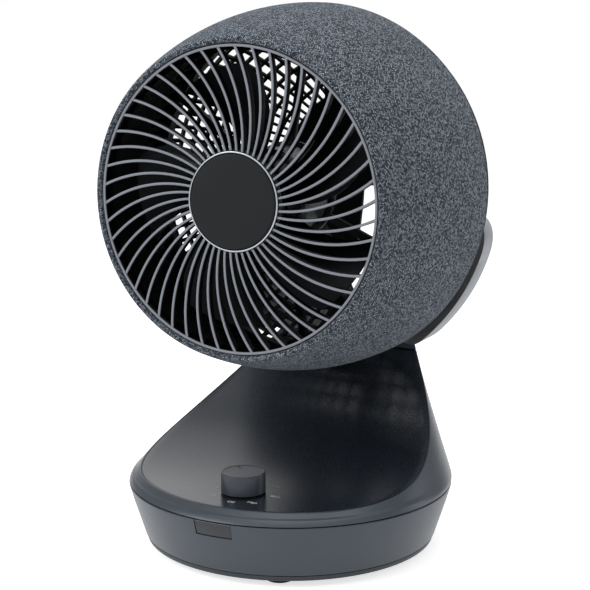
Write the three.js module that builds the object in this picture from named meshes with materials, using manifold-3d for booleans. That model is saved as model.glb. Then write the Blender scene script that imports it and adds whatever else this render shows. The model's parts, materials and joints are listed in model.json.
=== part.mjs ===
// Air circulator fan: a round fabric-covered head on a swivelling pedestal and a low base.
// Millimetres. +Z is up, the fan blows along -Y, and the feet stand on Z = 0.
// Every length below drives the part; the build functions only combine them.
import * as THREE from 'three';
import { mergeVertices } from 'three/addons/utils/BufferGeometryUtils.js';
import Module from 'manifold-3d';

const wasm = await Module();
wasm.setup();
const { Manifold, Mesh: SolidMesh } = wasm;

// ---- clearances ----
const GAP = 0.35;               // parts that nest or touch
const SEAM = 0.7;               // visible line between swivelling and fixed shells
const SLIDE = 0.5;              // play of a shaft or pin that turns
const REACH = 400;              // length of a tool body that must cut right through

// ---- base ----
const FOOT_HEIGHT = 4;          // floor to underside of the base plate
const FOOT_RADIUS = 9;
const FOOT_COUNT = 5;
const FOOT_CIRCLE = 80;         // radius of the circle the feet stand on
const FOOT_TURN = 22;           // degrees of the first foot from the front, towards +X
const FOOT_RECESS = 1.2;
const PLATE_TOP = 10.5;
const PLATE_FLOOR = 3;
const BASE_RADIUS = 96;         // lower edge of the base
const WAIST_RADIUS = 108;       // widest circle, at the seam
const WAIST_Z = 42.5;
const WALL = 2.6;               // shell thickness
const LEDGE_DROP = 2.1;         // bearing ledge below the rim of the base
const LEDGE_THICK = 2.5;
const LEDGE_WIDTH = 17;         // how far the bearing ledge reaches inwards
const GLIDE_INSET = 2;          // glide ring inside the edges that it slides between
const WINDOW_WIDTH = 26;
const WINDOW_HEIGHT = 10;
const WINDOW_INSET = 0.5;
const BALLAST_INNER = 52;
const BALLAST_EDGE = 9;         // from the ballast to the inside of the plate's rim
const BALLAST_HEIGHT = 9;

// ---- swivel drive ----
const PAN_PLAY = 1.5;           // from the ledge to the pan that hangs in the base
const PAN_FLOOR_Z = 19.5;
const PAN_THICK = 2.5;
const POST_RADIUS = 9;
const POST_BORE = 6;
const POST_TOP = 31;
const POST_FLANGE = 18;
const FLANGE_THICK = 2.5;
const NUT_WIDTH = 4;            // corner of the nut beyond the post
const NUT_THICK = 4;
const GEAR_TEETH = 32;
const PINION_TEETH = 8;
const TOOTH_PITCH = 5.6;        // arc length of one tooth and one space
const TOOTH_DEPTH = 2.5;
const GEAR_THICK = 6;
const GEAR_DROP = 1.5;          // gear below the floor of the pan
const DRIVE_CLEAR = 1;          // from the swivel motor to the nut's corners
const DRIVE_HEIGHT = 13;
const DRIVE_ROOF = 5;           // solid end of the swivel motor over its spindle
const SPINDLE_RADIUS = 3;
const BOARD_LENGTH = 78;
const BOARD_WIDTH = 32;
const BOARD_THICK = 1.6;
const BOARD_Y = -35;
const BOARD_LIFT = 4;
const SENSOR_WIDTH = 22;
const SENSOR_HEIGHT = 14;
const SENSOR_DROP = 6;          // infrared board below the rim of the base
const SENSOR_PLAY = 1.5;

// ---- pedestal, heights counted from the waist ----
const SIDE_SLOPE = 0.6;         // loss of half width per height
const SIDE_CURVE = 0.0011;
const LEAN = 0.75;              // backward shift per height
const LEAN_CURVE = 0.0035;
const REAR_FLATTEN = 0.5;       // share of the rear depth lost at FLATTEN_HEIGHT
const FLATTEN_HEIGHT = 80;
const NECK_SEAM = 74;           // height where the cradle takes over
const PANEL_LOW = 7;            // height of the flat front of the panel
const PANEL_START = -80;        // Y where the panel begins to rise
const NECK_FACE = 9.3;          // panel face behind the middle of the neck at its seam
const PANEL_POWER = 2.5;
const PANEL_THICK = 2.6;
const KNOB_INSET = 42;          // waist's front edge to the knob's axis
const KNOB_RADIUS = 14.2;
const KNOB_CLEAR = 0.36;        // knob above the panel where the panel is highest under it
const KNOB_HEIGHT = 12.8;
const SWITCH_SIDE = 20;
const SWITCH_DEPTH = 14;
const BUSH_RADIUS = 4.5;
const SWITCH_NUT = 8.1;         // radius over the corners

// ---- head, axis along Y, counted from the tilt pivot ----
const HEAD_Y = 11;              // pivot behind the swivel axis
const HEAD_TILT = 1.25;         // degrees the head looks up at rest
const HEAD_LIFT = 71.5;         // underside of the head above the waist
const NECK_REACH = 20.5;        // top of the cradle's stem above the underside of the head
const HEAD_RADIUS = 120;        // fabric belt at its rear edge
const FRONT_RADIUS = 99;        // fabric belt at the grille
const BELT_BULGE = 5.8;         // fullness of the belt between its two edges
const BELT_END = 30;            // rear edge of the fabric belt
const FABRIC = 1.4;
const LINER = 2.2;              // plastic shell under the fabric
const FACE_Y = -86.2;           // plane of the grille ring
const LIP_WIDTH = 3.9;          // fabric lip between the dark gap and the belt
const RING_WIDTH = 1.7;
const RING_DEPTH = 6;
const RING_SLOT = 0.6;          // dark gap around the ring
const BAR_COUNT = 50;
const BAR_SWEEP = 18.5;         // degrees a bar turns from hub to ring
const BAR_LEAN = 1.12;
const BAR_THIN = 1.5;
const BAR_THICK = 1.9;
const BAR_DEPTH = 5;
const HUB_RADIUS = 30.7;        // outside of the bright ring round the cap
const HUB_FORWARD = 2;          // the hub stands ahead of the ring
const HUB_LIP = 1.5;            // hub beyond the bright ring, where the bars spring from it
const CAP_RING = 1.3;           // width of the bright ring
const CAP_DEPTH = 2.4;
const SEAT_WIDTH = 2.2;         // ledge inside the shell that the duct's flange sits on
const DUCT_INSET = 10.6;        // duct inside the belt
const DUCT_FLARE = 4.3;         // duct comes this much closer to the belt at its rear end
const DUCT_WALL = 2;
const DUCT_END = 20;
const VENT_FRONT = -20;         // openings through duct and shell, lit through the fabric
const VENT_BACK = 10;
const VENT_COUNT = 18;
const VENT_WIDTH = 12;
const BLADE_COUNT = 5;
const TIP_INSET = 11.5;         // blade tips inside the grille ring
const ROTOR_HUB = 26;
const ROTOR_SET = 15.2;         // ring plane to the front of the rotor
const ROTOR_DEPTH = 25;
const MOTOR_RADIUS = 29;
const MOTOR_CLEAR = 3;          // rotor to motor, along the axis
const EYE_CLEAR = 1;            // motor to the eye of the tilt arm
const SHAFT_RADIUS = 4;
const MOUNT_THICK = 3.5;
const MOUNT_RIM = 2.5;
const SPOKE_COUNT = 6;
const SPOKE_WIDTH = 5;
const ARM_HALF = 5.5;           // half thickness of the tilt arm
const ARM_WIDTH = 16;
const ARM_PLAY = 1.5;           // room beside the arm in its slot
const ARM_ANGLE = 50;           // degrees the arm drops towards the rear
const PIN_RADIUS = 4;
const EYE_RADIUS = 11;
const WASHER = 1.2;
const CHEEK = 4;
const TILT_UP = 40;             // degrees of travel the slot leaves
const TILT_DOWN = 5;
const GUARD_WALL = 2.5;
const GUARD_CENTRE = 30;        // degrees from the rear pole where the slots begin
const GUARD_RING = 52;          // ring between the two rows of slots
const GUARD_EDGE = 73;
const SLOT_COUNT = 36;
const SLOT_SHARE = 0.5;         // open part of each slot's turn
const CRADLE_GAP = 5.6;
const CRADLE_THICK = 10;
const CRADLE_DROP = 40;         // centre of the yoke below the pivot
const CRADLE_TUCK = 1.3;        // yoke's lowest edge inside the reach of its hollow
const CRADLE_WIDTH = 32;
const YOKE_FRONT = 20;          // yoke begins behind the pivot
const HORN_DROP = 22;           // ends of the yoke below the pivot

const degree = Math.PI / 180;
const headZ = WAIST_Z + HEAD_LIFT + HEAD_RADIUS;
const knobY = KNOB_INSET - WAIST_RADIUS;
const neckTop = HEAD_LIFT + NECK_REACH;
const knobLow = panelHeight(knobY + KNOB_RADIUS) + KNOB_CLEAR;
const domeRadius = Math.hypot(BELT_END, beltRadius(BELT_END));
const ringOuter = beltRadius(FACE_Y) - LIP_WIDTH - RING_SLOT;
const bladeTip = ringOuter - TIP_INSET;
const ledgeRadius = WAIST_RADIUS - WALL - LEDGE_WIDTH;
const panRadius = ledgeRadius - PAN_PLAY;
const cradleInner = domeRadius + CRADLE_GAP;
const rotorFront = FACE_Y + ROTOR_SET;
const rotorBack = rotorFront + ROTOR_DEPTH;
const motorFront = rotorBack + MOTOR_CLEAR;
const motorBack = -EYE_RADIUS - EYE_CLEAR;
const mountBack = motorBack + MOUNT_THICK;
const gearHigh = PAN_FLOOR_Z - GEAR_DROP;
const gearLow = gearHigh - GEAR_THICK;
const nutRadius = POST_RADIUS + NUT_WIDTH;
const flangeRadius = sideWidth(PAN_THICK + SEAM) - leanAt(PAN_THICK + SEAM) - WALL - 2 * GAP;

// ---- building blocks ----

function bodyOf(geometry) {
  const bare = new THREE.BufferGeometry();
  bare.setAttribute('position', geometry.getAttribute('position'));
  if (geometry.index) bare.setIndex(geometry.index);
  const tidy = mergeVertices(bare, 1e-4);
  const corners = new Float32Array(tidy.getAttribute('position').array);
  const faces = [];
  const list = tidy.index.array;
  for (let i = 0; i < list.length; i += 3) {
    const [a, b, c] = [list[i], list[i + 1], list[i + 2]];
    if (a !== b && b !== c && c !== a) faces.push(a, b, c);
  }
  if (signedVolume(corners, faces) < 0) {
    for (let i = 0; i < faces.length; i += 3) {
      const first = faces[i];
      faces[i] = faces[i + 1];
      faces[i + 1] = first;
    }
  }
  return new Manifold(new SolidMesh({
    numProp: 3,
    vertProperties: corners,
    triVerts: new Uint32Array(faces),
  }));
}

function signedVolume(corners, faces) {
  let total = 0;
  const a = new THREE.Vector3();
  const b = new THREE.Vector3();
  const c = new THREE.Vector3();
  for (let i = 0; i < faces.length; i += 3) {
    a.fromArray(corners, faces[i] * 3);
    b.fromArray(corners, faces[i + 1] * 3);
    c.fromArray(corners, faces[i + 2] * 3);
    total += a.dot(b.cross(c)) / 6;
  }
  return total;
}

function join(...parts) {
  return parts.reduce((sum, part) => sum.add(part));
}

function cut(body, ...tools) {
  return tools.reduce((rest, tool) => rest.subtract(tool), body);
}

function common(body, ...others) {
  return others.reduce((rest, other) => rest.intersect(other), body);
}

function geometryOf(body) {
  const mesh = body.getMesh();
  const geometry = new THREE.BufferGeometry();
  const step = mesh.numProp;
  const corners = new Float32Array(mesh.numVert * 3);
  for (let i = 0; i < mesh.numVert; i += 1) {
    for (let k = 0; k < 3; k += 1) corners[i * 3 + k] = mesh.vertProperties[i * step + k];
  }
  geometry.setAttribute('position', new THREE.BufferAttribute(corners, 3));
  geometry.setIndex(Array.from(mesh.triVerts));
  geometry.computeVertexNormals();
  return geometry;
}

function shapeOf(points) {
  return new THREE.Shape(points.map(([u, v]) => new THREE.Vector2(u, v)));
}

// A closed outline of (radius, height) turned about the Z axis.
function turnedUpright(outline, steps = 64) {
  const points = outline.map(([r, h]) => new THREE.Vector2(r, h));
  points.push(points[0].clone());
  const geometry = new THREE.LatheGeometry(points, steps);
  geometry.rotateX(Math.PI / 2);
  return bodyOf(geometry);
}

// A closed outline of (radius, y) turned about the axis of the head.
function turnedHead(outline, steps = 64) {
  const points = outline.map(([r, y]) => new THREE.Vector2(r, y));
  points.push(points[0].clone());
  const geometry = new THREE.LatheGeometry(points, steps);
  geometry.translate(0, HEAD_Y, headZ);
  return bodyOf(geometry);
}

function ringUpright(inner, outer, low, high, steps = 64) {
  return turnedUpright([[inner, low], [outer, low], [outer, high], [inner, high]], steps);
}

function ringHead(inner, outer, front, back, steps = 64) {
  return turnedHead([[inner, front], [outer, front], [outer, back], [inner, back]], steps);
}

function rod(radius, low, high, x = 0, y = 0, steps = 20) {
  const geometry = new THREE.CylinderGeometry(radius, radius, high - low, steps);
  geometry.rotateX(Math.PI / 2);
  geometry.translate(x, y, (low + high) / 2);
  return bodyOf(geometry);
}

function rodHead(radius, front, back, steps = 20) {
  const geometry = new THREE.CylinderGeometry(radius, radius, back - front, steps);
  geometry.translate(0, HEAD_Y + (front + back) / 2, headZ);
  return bodyOf(geometry);
}

function rodAcross(radius, left, right, steps = 20) {
  const geometry = new THREE.CylinderGeometry(radius, radius, right - left, steps);
  geometry.rotateZ(Math.PI / 2);
  geometry.translate((left + right) / 2, HEAD_Y, headZ);
  return bodyOf(geometry);
}

function block(width, depth, height, x, y, z) {
  const geometry = new THREE.BoxGeometry(width, depth, height);
  geometry.translate(x, y, z);
  return bodyOf(geometry);
}

// An outline in X and Y raised along Z.
function raised(points, low, high, hole = 0) {
  const shape = shapeOf(points);
  if (hole > 0) {
    const round = new THREE.Path();
    round.absarc(0, 0, hole, 0, Math.PI * 2, true);
    shape.holes.push(round);
  }
  const settings = { depth: high - low, bevelEnabled: false, curveSegments: 16 };
  const geometry = new THREE.ExtrudeGeometry(shape, settings);
  geometry.translate(0, 0, low);
  return bodyOf(geometry);
}

// An outline in Y and Z stretched along X.
function stretchedAcross(points, left, right) {
  const settings = { depth: right - left, bevelEnabled: false };
  const geometry = new THREE.ExtrudeGeometry(shapeOf(points), settings);
  const turn = new THREE.Matrix4();
  turn.set(0, 0, 1, left, 1, 0, 0, 0, 0, 1, 0, 0, 0, 0, 0, 1);
  geometry.applyMatrix4(turn);
  return bodyOf(geometry);
}

// An outline in X and Z stretched along Y.
function stretchedBack(points, front, back) {
  const settings = { depth: back - front, bevelEnabled: false, curveSegments: 16 };
  const geometry = new THREE.ExtrudeGeometry(shapeOf(points), settings);
  geometry.rotateX(Math.PI / 2);
  geometry.translate(0, back, 0);
  return bodyOf(geometry);
}

// Equal closed rings of corners joined in order, with both ends capped.
function lofted(rings) {
  const count = rings[0].length;
  const corners = rings.flat(2);
  const faces = [];
  for (let i = 0; i + 1 < rings.length; i += 1) {
    for (let k = 0; k < count; k += 1) {
      const next = (k + 1) % count;
      const a = i * count + k;
      const b = i * count + next;
      const c = a + count;
      const d = b + count;
      faces.push(a, b, d, a, d, c);
    }
  }
  for (const end of [0, rings.length - 1]) {
    const start = end * count;
    const cap = capOf(rings[end]);
    for (const [a, b, c] of cap) {
      if (end === 0) faces.push(start + a, start + c, start + b);
      else faces.push(start + a, start + b, start + c);
    }
  }
  const geometry = new THREE.BufferGeometry();
  geometry.setAttribute('position', new THREE.BufferAttribute(new Float32Array(corners), 3));
  geometry.setIndex(faces);
  return bodyOf(geometry);
}

function capOf(ring) {
  const faces = [];
  for (let k = 1; k + 1 < ring.length; k += 1) faces.push([0, k, k + 1]);
  return faces;
}

function ball(radius, steps = 40) {
  const geometry = new THREE.SphereGeometry(radius, steps, steps / 2);
  geometry.translate(0, HEAD_Y, headZ);
  return bodyOf(geometry);
}

function turnedHeadCopy(body, angle) {
  return body.translate([0, -HEAD_Y, -headZ]).rotate([0, angle, 0]).translate([0, HEAD_Y, headZ]);
}

// The head is made level, then looks up by its tilt at rest.
function raisedLook(body) {
  return body.translate([0, -HEAD_Y, -headZ]).rotate([-HEAD_TILT, 0, 0]).translate([0, HEAD_Y, headZ]);
}

// ---- shape laws ----

function baseRadius(z) {
  return BASE_RADIUS + (WAIST_RADIUS - BASE_RADIUS) * (z - FOOT_HEIGHT) / (WAIST_Z - FOOT_HEIGHT);
}

function sideWidth(h) {
  return WAIST_RADIUS - SIDE_SLOPE * h - SIDE_CURVE * h * h;
}

function rearDepth(h) {
  return sideWidth(h) * (1 - REAR_FLATTEN * (h / FLATTEN_HEIGHT) ** 2);
}

function leanAt(h) {
  return LEAN * h + LEAN_CURVE * h * h;
}

function panelHeight(y) {
  const end = leanAt(NECK_SEAM) + NECK_FACE;
  const along = Math.max(0, (y - PANEL_START) / (end - PANEL_START));
  return PANEL_LOW + (NECK_SEAM - PANEL_LOW) * along ** PANEL_POWER;
}

function beltRadius(y) {
  const along = (y - FACE_Y) / (BELT_END - FACE_Y);
  const bulge = 4 * BELT_BULGE * along * (1 - along);
  return FRONT_RADIUS + (HEAD_RADIUS - FRONT_RADIUS) * along + bulge;
}

function ductRadius(y) {
  const along = Math.max(0, (y - VENT_FRONT) / (DUCT_END - VENT_FRONT));
  return beltRadius(y) - DUCT_INSET + DUCT_FLARE * along;
}

// Outline of the pedestal at a height above the waist, moved inwards by inset.
function pedestalRing(h, inset, steps = 36) {
  const ring = [];
  const wide = sideWidth(h) - inset;
  const middle = leanAt(h);
  for (let k = 0; k < steps; k += 1) {
    const turn = k / steps * Math.PI * 2;
    const deep = Math.sin(turn) > 0 ? rearDepth(h) - inset : wide;
    ring.push([wide * Math.cos(turn), middle + deep * Math.sin(turn), WAIST_Z + h]);
  }
  return ring;
}

function pedestalSolid(inset, low, high, stages = 4) {
  const rings = [];
  for (let i = 0; i <= stages; i += 1) rings.push(pedestalRing(low + (high - low) * i / stages, inset));
  return lofted(rings);
}

// Everything below the panel face, lowered by drop.
function underPanel(drop, back = 140) {
  const points = [[-REACH, WAIST_Z - 60]];
  points.push([-REACH, WAIST_Z + PANEL_LOW - drop]);
  const stages = 14;
  for (let i = 0; i <= stages; i += 1) {
    const y = PANEL_START + (back - PANEL_START) * i / stages;
    points.push([y, WAIST_Z + panelHeight(y) - drop]);
  }
  points.push([REACH, WAIST_Z + panelHeight(back) - drop]);
  points.push([REACH, WAIST_Z - 60]);
  return stretchedAcross(points.reverse(), -REACH, REACH);
}

// Open line of the visible belt from the inner edge of the front lip to the rear edge.
function beltLine(stages = 4) {
  const lip = ringOuter + RING_SLOT;
  const edge = beltRadius(FACE_Y);
  const line = [[lip, FACE_Y + RING_DEPTH]];
  line.push([lip, FACE_Y + 0.6]);
  line.push([lip + 0.8, FACE_Y - 0.9]);
  line.push([lip + 2.1, FACE_Y - 1.4]);
  line.push([edge - 0.5, FACE_Y - 0.6]);
  for (let i = 0; i <= stages; i += 1) {
    const y = FACE_Y + 2 + (BELT_END - FACE_Y - 2) * i / stages;
    line.push([beltRadius(y), y]);
  }
  return line;
}

// A line moved sideways towards the axis of the head.
function moved(line, distance) {
  return line.map((point, i) => {
    const before = line[Math.max(0, i - 1)];
    const after = line[Math.min(line.length - 1, i + 1)];
    const along = new THREE.Vector2(after[0] - before[0], after[1] - before[1]).normalize();
    return [point[0] - along.y * distance, point[1] + along.x * distance];
  });
}

function gearOutline(teeth, pitchRadius, turn) {
  const points = [];
  const root = pitchRadius - TOOTH_DEPTH * 0.55;
  const tip = pitchRadius + TOOTH_DEPTH * 0.4;
  const share = [[-0.28, root], [-0.15, tip], [0.15, tip], [0.28, root]];
  for (let i = 0; i < teeth; i += 1) {
    for (const [part, radius] of share) {
      const angle = (i + part) / teeth * Math.PI * 2 + turn;
      points.push([radius * Math.cos(angle), radius * Math.sin(angle)]);
    }
  }
  return points;
}

// ---- base ----

function footPlace(i) {
  const angle = (-90 + FOOT_TURN + i * 360 / FOOT_COUNT) * degree;
  return [FOOT_CIRCLE * Math.cos(angle), FOOT_CIRCLE * Math.sin(angle)];
}

function foot(i) {
  const [x, y] = footPlace(i);
  const round = 1;
  const profile = [[0, 0], [FOOT_RADIUS - round, 0], [FOOT_RADIUS, round]];
  profile.push([FOOT_RADIUS, FOOT_HEIGHT + FOOT_RECESS - GAP], [0, FOOT_HEIGHT + FOOT_RECESS - GAP]);
  return turnedUpright(profile, 12).translate([x, y, 0]);
}

function basePlate() {
  const low = FOOT_HEIGHT;
  const edge = baseRadius(PLATE_TOP) - 0.6;
  const profile = [[0, low], [BASE_RADIUS - 2, low], [BASE_RADIUS - 0.4, low + 1.6], [edge, PLATE_TOP]];
  profile.push([edge - WALL, PLATE_TOP], [edge - WALL, low + PLATE_FLOOR], [0, low + PLATE_FLOOR]);
  let plate = turnedUpright(profile, 40);
  for (let i = 0; i < FOOT_COUNT; i += 1) {
    const [x, y] = footPlace(i);
    plate = cut(plate, rod(FOOT_RADIUS + GAP, low - 1, low + FOOT_RECESS, x, y, 12));
  }
  return cut(plate, rod(POST_BORE, low - 1, low + PLATE_FLOOR + 1));
}

function baseBowl() {
  const low = PLATE_TOP + GAP;
  const high = WAIST_Z - SEAM / 2;
  const ledge = high - LEDGE_DROP;
  const under = ledge - LEDGE_THICK;
  const outer = [[baseRadius(low) - 0.4, low], [baseRadius(low + 2) + 0.2, low + 2]];
  outer.push([WAIST_RADIUS - 0.6, high - 1.2], [WAIST_RADIUS - 1.2, high]);
  const rim = WAIST_RADIUS - WALL;
  const inner = [[rim, high], [rim, ledge], [ledgeRadius, ledge], [ledgeRadius, under]];
  inner.push([baseRadius(under) - WALL, under], [baseRadius(low) - WALL - 0.4, low]);
  const bowl = turnedUpright(outer.concat(inner), 40);
  return cut(bowl, windowTool(WINDOW_WIDTH, WINDOW_HEIGHT, 0));
}

function windowTool(width, height, drop) {
  const top = WAIST_Z + 5 - drop;
  const low = WAIST_Z - SEAM / 2 - height;
  const front = -WAIST_RADIUS - 10;
  const back = -WAIST_RADIUS + WALL + 4;
  return block(width, back - front, top - low, 0, (front + back) / 2, (top + low) / 2);
}

function irWindow() {
  const high = WAIST_Z - SEAM / 2;
  const low = high - WINDOW_HEIGHT + GAP;
  const face = WINDOW_INSET + WALL;
  const profile = [[baseRadius(low) - WINDOW_INSET, low], [baseRadius(high) - WINDOW_INSET - 0.4, high]];
  profile.push([baseRadius(high) - face + 0.8, high], [baseRadius(low) - face + 0.8, low]);
  const band = turnedUpright(profile, 48);
  return common(band, windowTool(WINDOW_WIDTH - 2 * GAP, WINDOW_HEIGHT * 2, 0));
}

function irBoard() {
  const middle = WAIST_Z - SENSOR_DROP - SENSOR_HEIGHT / 2;
  const wall = baseRadius(middle - SENSOR_HEIGHT / 2) - WALL - SENSOR_PLAY;
  const depth = Math.sqrt(wall * wall - SENSOR_WIDTH * SENSOR_WIDTH / 4);
  return block(SENSOR_WIDTH, BOARD_THICK, SENSOR_HEIGHT, 0, BOARD_THICK / 2 - depth, middle);
}

function ballastRing() {
  const low = FOOT_HEIGHT + PLATE_FLOOR + GAP;
  const outer = baseRadius(PLATE_TOP) - 0.6 - WALL - BALLAST_EDGE;
  return ringUpright(BALLAST_INNER, outer, low, low + BALLAST_HEIGHT, 28);
}

function swivelPost() {
  const low = FOOT_HEIGHT + PLATE_FLOOR + GAP;
  const step = low + FLANGE_THICK;
  const profile = [[POST_BORE, low], [POST_FLANGE, low], [POST_FLANGE, step], [POST_RADIUS, step]];
  profile.push([POST_RADIUS, POST_TOP], [POST_BORE, POST_TOP]);
  return turnedUpright(profile, 20);
}

function gearRadius(teeth) {
  return teeth * TOOTH_PITCH / (2 * Math.PI);
}

function swivelGear() {
  const bore = POST_RADIUS + GAP;
  const low = FOOT_HEIGHT + PLATE_FLOOR + GAP + FLANGE_THICK + GAP;
  const teeth = raised(gearOutline(GEAR_TEETH, gearRadius(GEAR_TEETH), Math.PI / 2), gearLow, gearHigh);
  const hub = rod(15, low, gearHigh);
  return cut(join(teeth, hub), rod(bore, low - 1, gearHigh + 1));
}

function glideRing() {
  const low = WAIST_Z - SEAM / 2 - LEDGE_DROP + GAP;
  const high = WAIST_Z + SEAM / 2 - GAP;
  return ringUpright(ledgeRadius + GLIDE_INSET, flangeRadius - GLIDE_INSET, low, high, 32);
}

function retainerNut() {
  const low = PAN_FLOOR_Z + PAN_THICK + GAP;
  const points = [];
  for (let i = 0; i < 6; i += 1) {
    points.push([nutRadius * Math.cos(i * 60 * degree), nutRadius * Math.sin(i * 60 * degree)]);
  }
  return raised(points, low, low + NUT_THICK, POST_RADIUS + GAP);
}

// ---- pedestal ----

function swivelPan() {
  const low = WAIST_Z + SEAM / 2;
  const floor = PAN_FLOOR_Z;
  const inside = panRadius - PAN_THICK;
  const profile = [[POST_RADIUS + SLIDE, floor], [panRadius, floor], [panRadius, low], [flangeRadius, low]];
  profile.push([flangeRadius, low + PAN_THICK], [inside, low + PAN_THICK], [inside, floor + PAN_THICK]);
  profile.push([POST_RADIUS + SLIDE, floor + PAN_THICK]);
  let pan = turnedUpright(profile, 32);
  for (const [x, y] of boardPosts()) {
    pan = join(pan, rod(3, floor + PAN_THICK - 0.5, floor + PAN_THICK + BOARD_LIFT, x, y, 8));
  }
  return cut(pan, rod(SHAFT_RADIUS, floor - 1, floor + PAN_THICK + 1, 0, driveDistance(), 20));
}

function driveDistance() {
  return gearRadius(GEAR_TEETH) + gearRadius(PINION_TEETH) + 0.35;
}

function boardPosts() {
  const across = BOARD_LENGTH / 2 - 5;
  const along = BOARD_WIDTH / 2 - 5;
  const places = [];
  for (const x of [-across, across]) places.push([x, BOARD_Y - along], [x, BOARD_Y + along]);
  return places;
}

function controlBoard() {
  const low = PAN_FLOOR_Z + PAN_THICK + BOARD_LIFT + GAP;
  return block(BOARD_LENGTH, BOARD_WIDTH, BOARD_THICK, 0, BOARD_Y, low + BOARD_THICK / 2);
}

function pedestalShell() {
  const low = SEAM / 2;
  const outer = pedestalSolid(0, low, NECK_SEAM);
  const foot = rod(WAIST_RADIUS - WALL - 0.2, WAIST_Z - 1, WAIST_Z + low + 0.3, 0, 0, 36);
  const inner = join(foot, pedestalSolid(WALL, low + 0.2, NECK_SEAM + 1));
  return common(cut(outer, inner), underPanel(0));
}

function controlPanel() {
  const room = pedestalSolid(WALL + GAP, SEAM / 2 + PAN_THICK + GAP, NECK_SEAM);
  const panel = cut(common(room, underPanel(0)), underPanel(PANEL_THICK));
  const above = block(REACH, REACH, 20, 0, 0, WAIST_Z + NECK_SEAM - 3.4 + 10);
  return cut(panel, above, yoke(GAP), rod(BUSH_RADIUS + GAP + 0.15, WAIST_Z, WAIST_Z + 20, 0, knobY, 24));
}

// The curved arms behind the head, grown all round by extra.
function yoke(extra) {
  const outside = cradleInner - CRADLE_TUCK - CRADLE_DROP + extra;
  const inside = outside - CRADLE_WIDTH - 2 * extra;
  const drop = CRADLE_DROP - HORN_DROP + extra;
  const centre = headZ - CRADLE_DROP;
  const points = [];
  const steps = 20;
  const wide = Math.asin(drop / outside);
  for (let i = 0; i <= steps; i += 1) {
    const turn = Math.PI - wide + (Math.PI + 2 * wide) * i / steps;
    points.push([outside * Math.cos(turn), centre + outside * Math.sin(turn)]);
  }
  const tight = Math.asin(drop / inside);
  for (let i = steps; i >= 0; i -= 1) {
    const turn = Math.PI - tight + (Math.PI + 2 * tight) * i / steps;
    points.push([inside * Math.cos(turn), centre + inside * Math.sin(turn)]);
  }
  const slab = stretchedBack(points, HEAD_Y + YOKE_FRONT - extra, HEAD_Y + REACH);
  return common(ball(cradleInner + CRADLE_THICK + extra), slab);
}

function cradle() {
  const inner = cradleInner;
  const stem = common(pedestalSolid(0, NECK_SEAM + GAP, neckTop, 4), underPanel(0));
  const hollow = common(pedestalSolid(WALL + 1, NECK_SEAM - 1, NECK_SEAM + 9, 2), underPanel(WALL + 4));
  const solid = cut(join(yoke(0), stem), ball(inner), hollow);
  return cut(solid, armShape(ARM_HALF + GAP, ARM_WIDTH + 2 * GAP, inner + 6 + GAP));
}

// The straight part of the tilt arm, from the pivot out to a distance.
function armShape(half, width, length) {
  const arm = block(half * 2, length, width, 0, length / 2, 0);
  return arm.rotate([-ARM_ANGLE, 0, 0]).translate([0, HEAD_Y, headZ]);
}

function tiltArm() {
  const shaft = armShape(ARM_HALF, ARM_WIDTH, cradleInner + 6);
  const eye = rodAcross(EYE_RADIUS, -ARM_HALF, ARM_HALF, 32);
  return cut(join(shaft, eye), rodAcross(PIN_RADIUS + SLIDE, -REACH, REACH));
}

function rotarySwitch() {
  const top = WAIST_Z + PANEL_LOW - PANEL_THICK - GAP;
  const body = block(SWITCH_SIDE, SWITCH_SIDE, SWITCH_DEPTH, 0, knobY, top - SWITCH_DEPTH / 2);
  const bush = rod(BUSH_RADIUS, top - 1, WAIST_Z + knobLow + 2.5, 0, knobY, 20);
  return cut(join(body, bush), rod(SPINDLE_RADIUS + SLIDE, top - SWITCH_DEPTH + 2, top + 40, 0, knobY, 20));
}

function switchNut() {
  const low = WAIST_Z + panelHeight(knobY + SWITCH_NUT) + GAP;
  const points = [];
  for (let i = 0; i < 6; i += 1) {
    const angle = i * 60 * degree;
    points.push([SWITCH_NUT * Math.cos(angle), SWITCH_NUT * Math.sin(angle)]);
  }
  return raised(points, low, low + 1.8, BUSH_RADIUS + GAP).translate([0, knobY, 0]);
}

function speedKnob() {
  const low = WAIST_Z + knobLow;
  const high = low + KNOB_HEIGHT;
  const top = WAIST_Z + PANEL_LOW - PANEL_THICK - GAP;
  const spindle = top - SWITCH_DEPTH + 5;
  const skirt = KNOB_RADIUS;
  const room = skirt - 3.7;
  const profile = [[0, spindle], [SPINDLE_RADIUS, spindle], [SPINDLE_RADIUS, low + 4], [room, low + 4]];
  profile.push([room, low]);
  profile.push([skirt, low], [skirt, low + 1], [skirt - 0.3, high - 1.4], [skirt - 1.5, high]);
  profile.push([0, high]);
  const tick = block(1.2, 7, 2, 0, skirt - 4.6, high);
  const knob = cut(turnedUpright(profile, 30), tick);
  return knob.rotate([0, 0, 44]).translate([0, knobY, 0]);
}

function swivelDrive() {
  const low = PAN_FLOOR_Z + PAN_THICK + GAP;
  const radius = driveDistance() - nutRadius - DRIVE_CLEAR;
  const can = rod(radius, low, low + DRIVE_HEIGHT, 0, driveDistance(), 32);
  const bore = rod(SPINDLE_RADIUS + SLIDE, low - 1, low + DRIVE_HEIGHT - DRIVE_ROOF, 0, driveDistance(), 20);
  return cut(can, bore);
}

function pinion() {
  const teeth = gearOutline(PINION_TEETH, gearRadius(PINION_TEETH), -Math.PI / 2 + Math.PI / PINION_TEETH);
  const wheel = raised(teeth, gearLow + 0.5, gearHigh - 0.5);
  const top = PAN_FLOOR_Z + PAN_THICK + GAP + DRIVE_HEIGHT - DRIVE_ROOF - 1;
  const shaft = rod(SPINDLE_RADIUS, gearHigh - 1, top, 0, 0, 20);
  return join(wheel, shaft).translate([0, driveDistance(), 0]);
}

// ---- head ----

function fabricCover() {
  const line = beltLine();
  return turnedHead(line.concat(moved(line, FABRIC).reverse()), 36);
}

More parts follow.
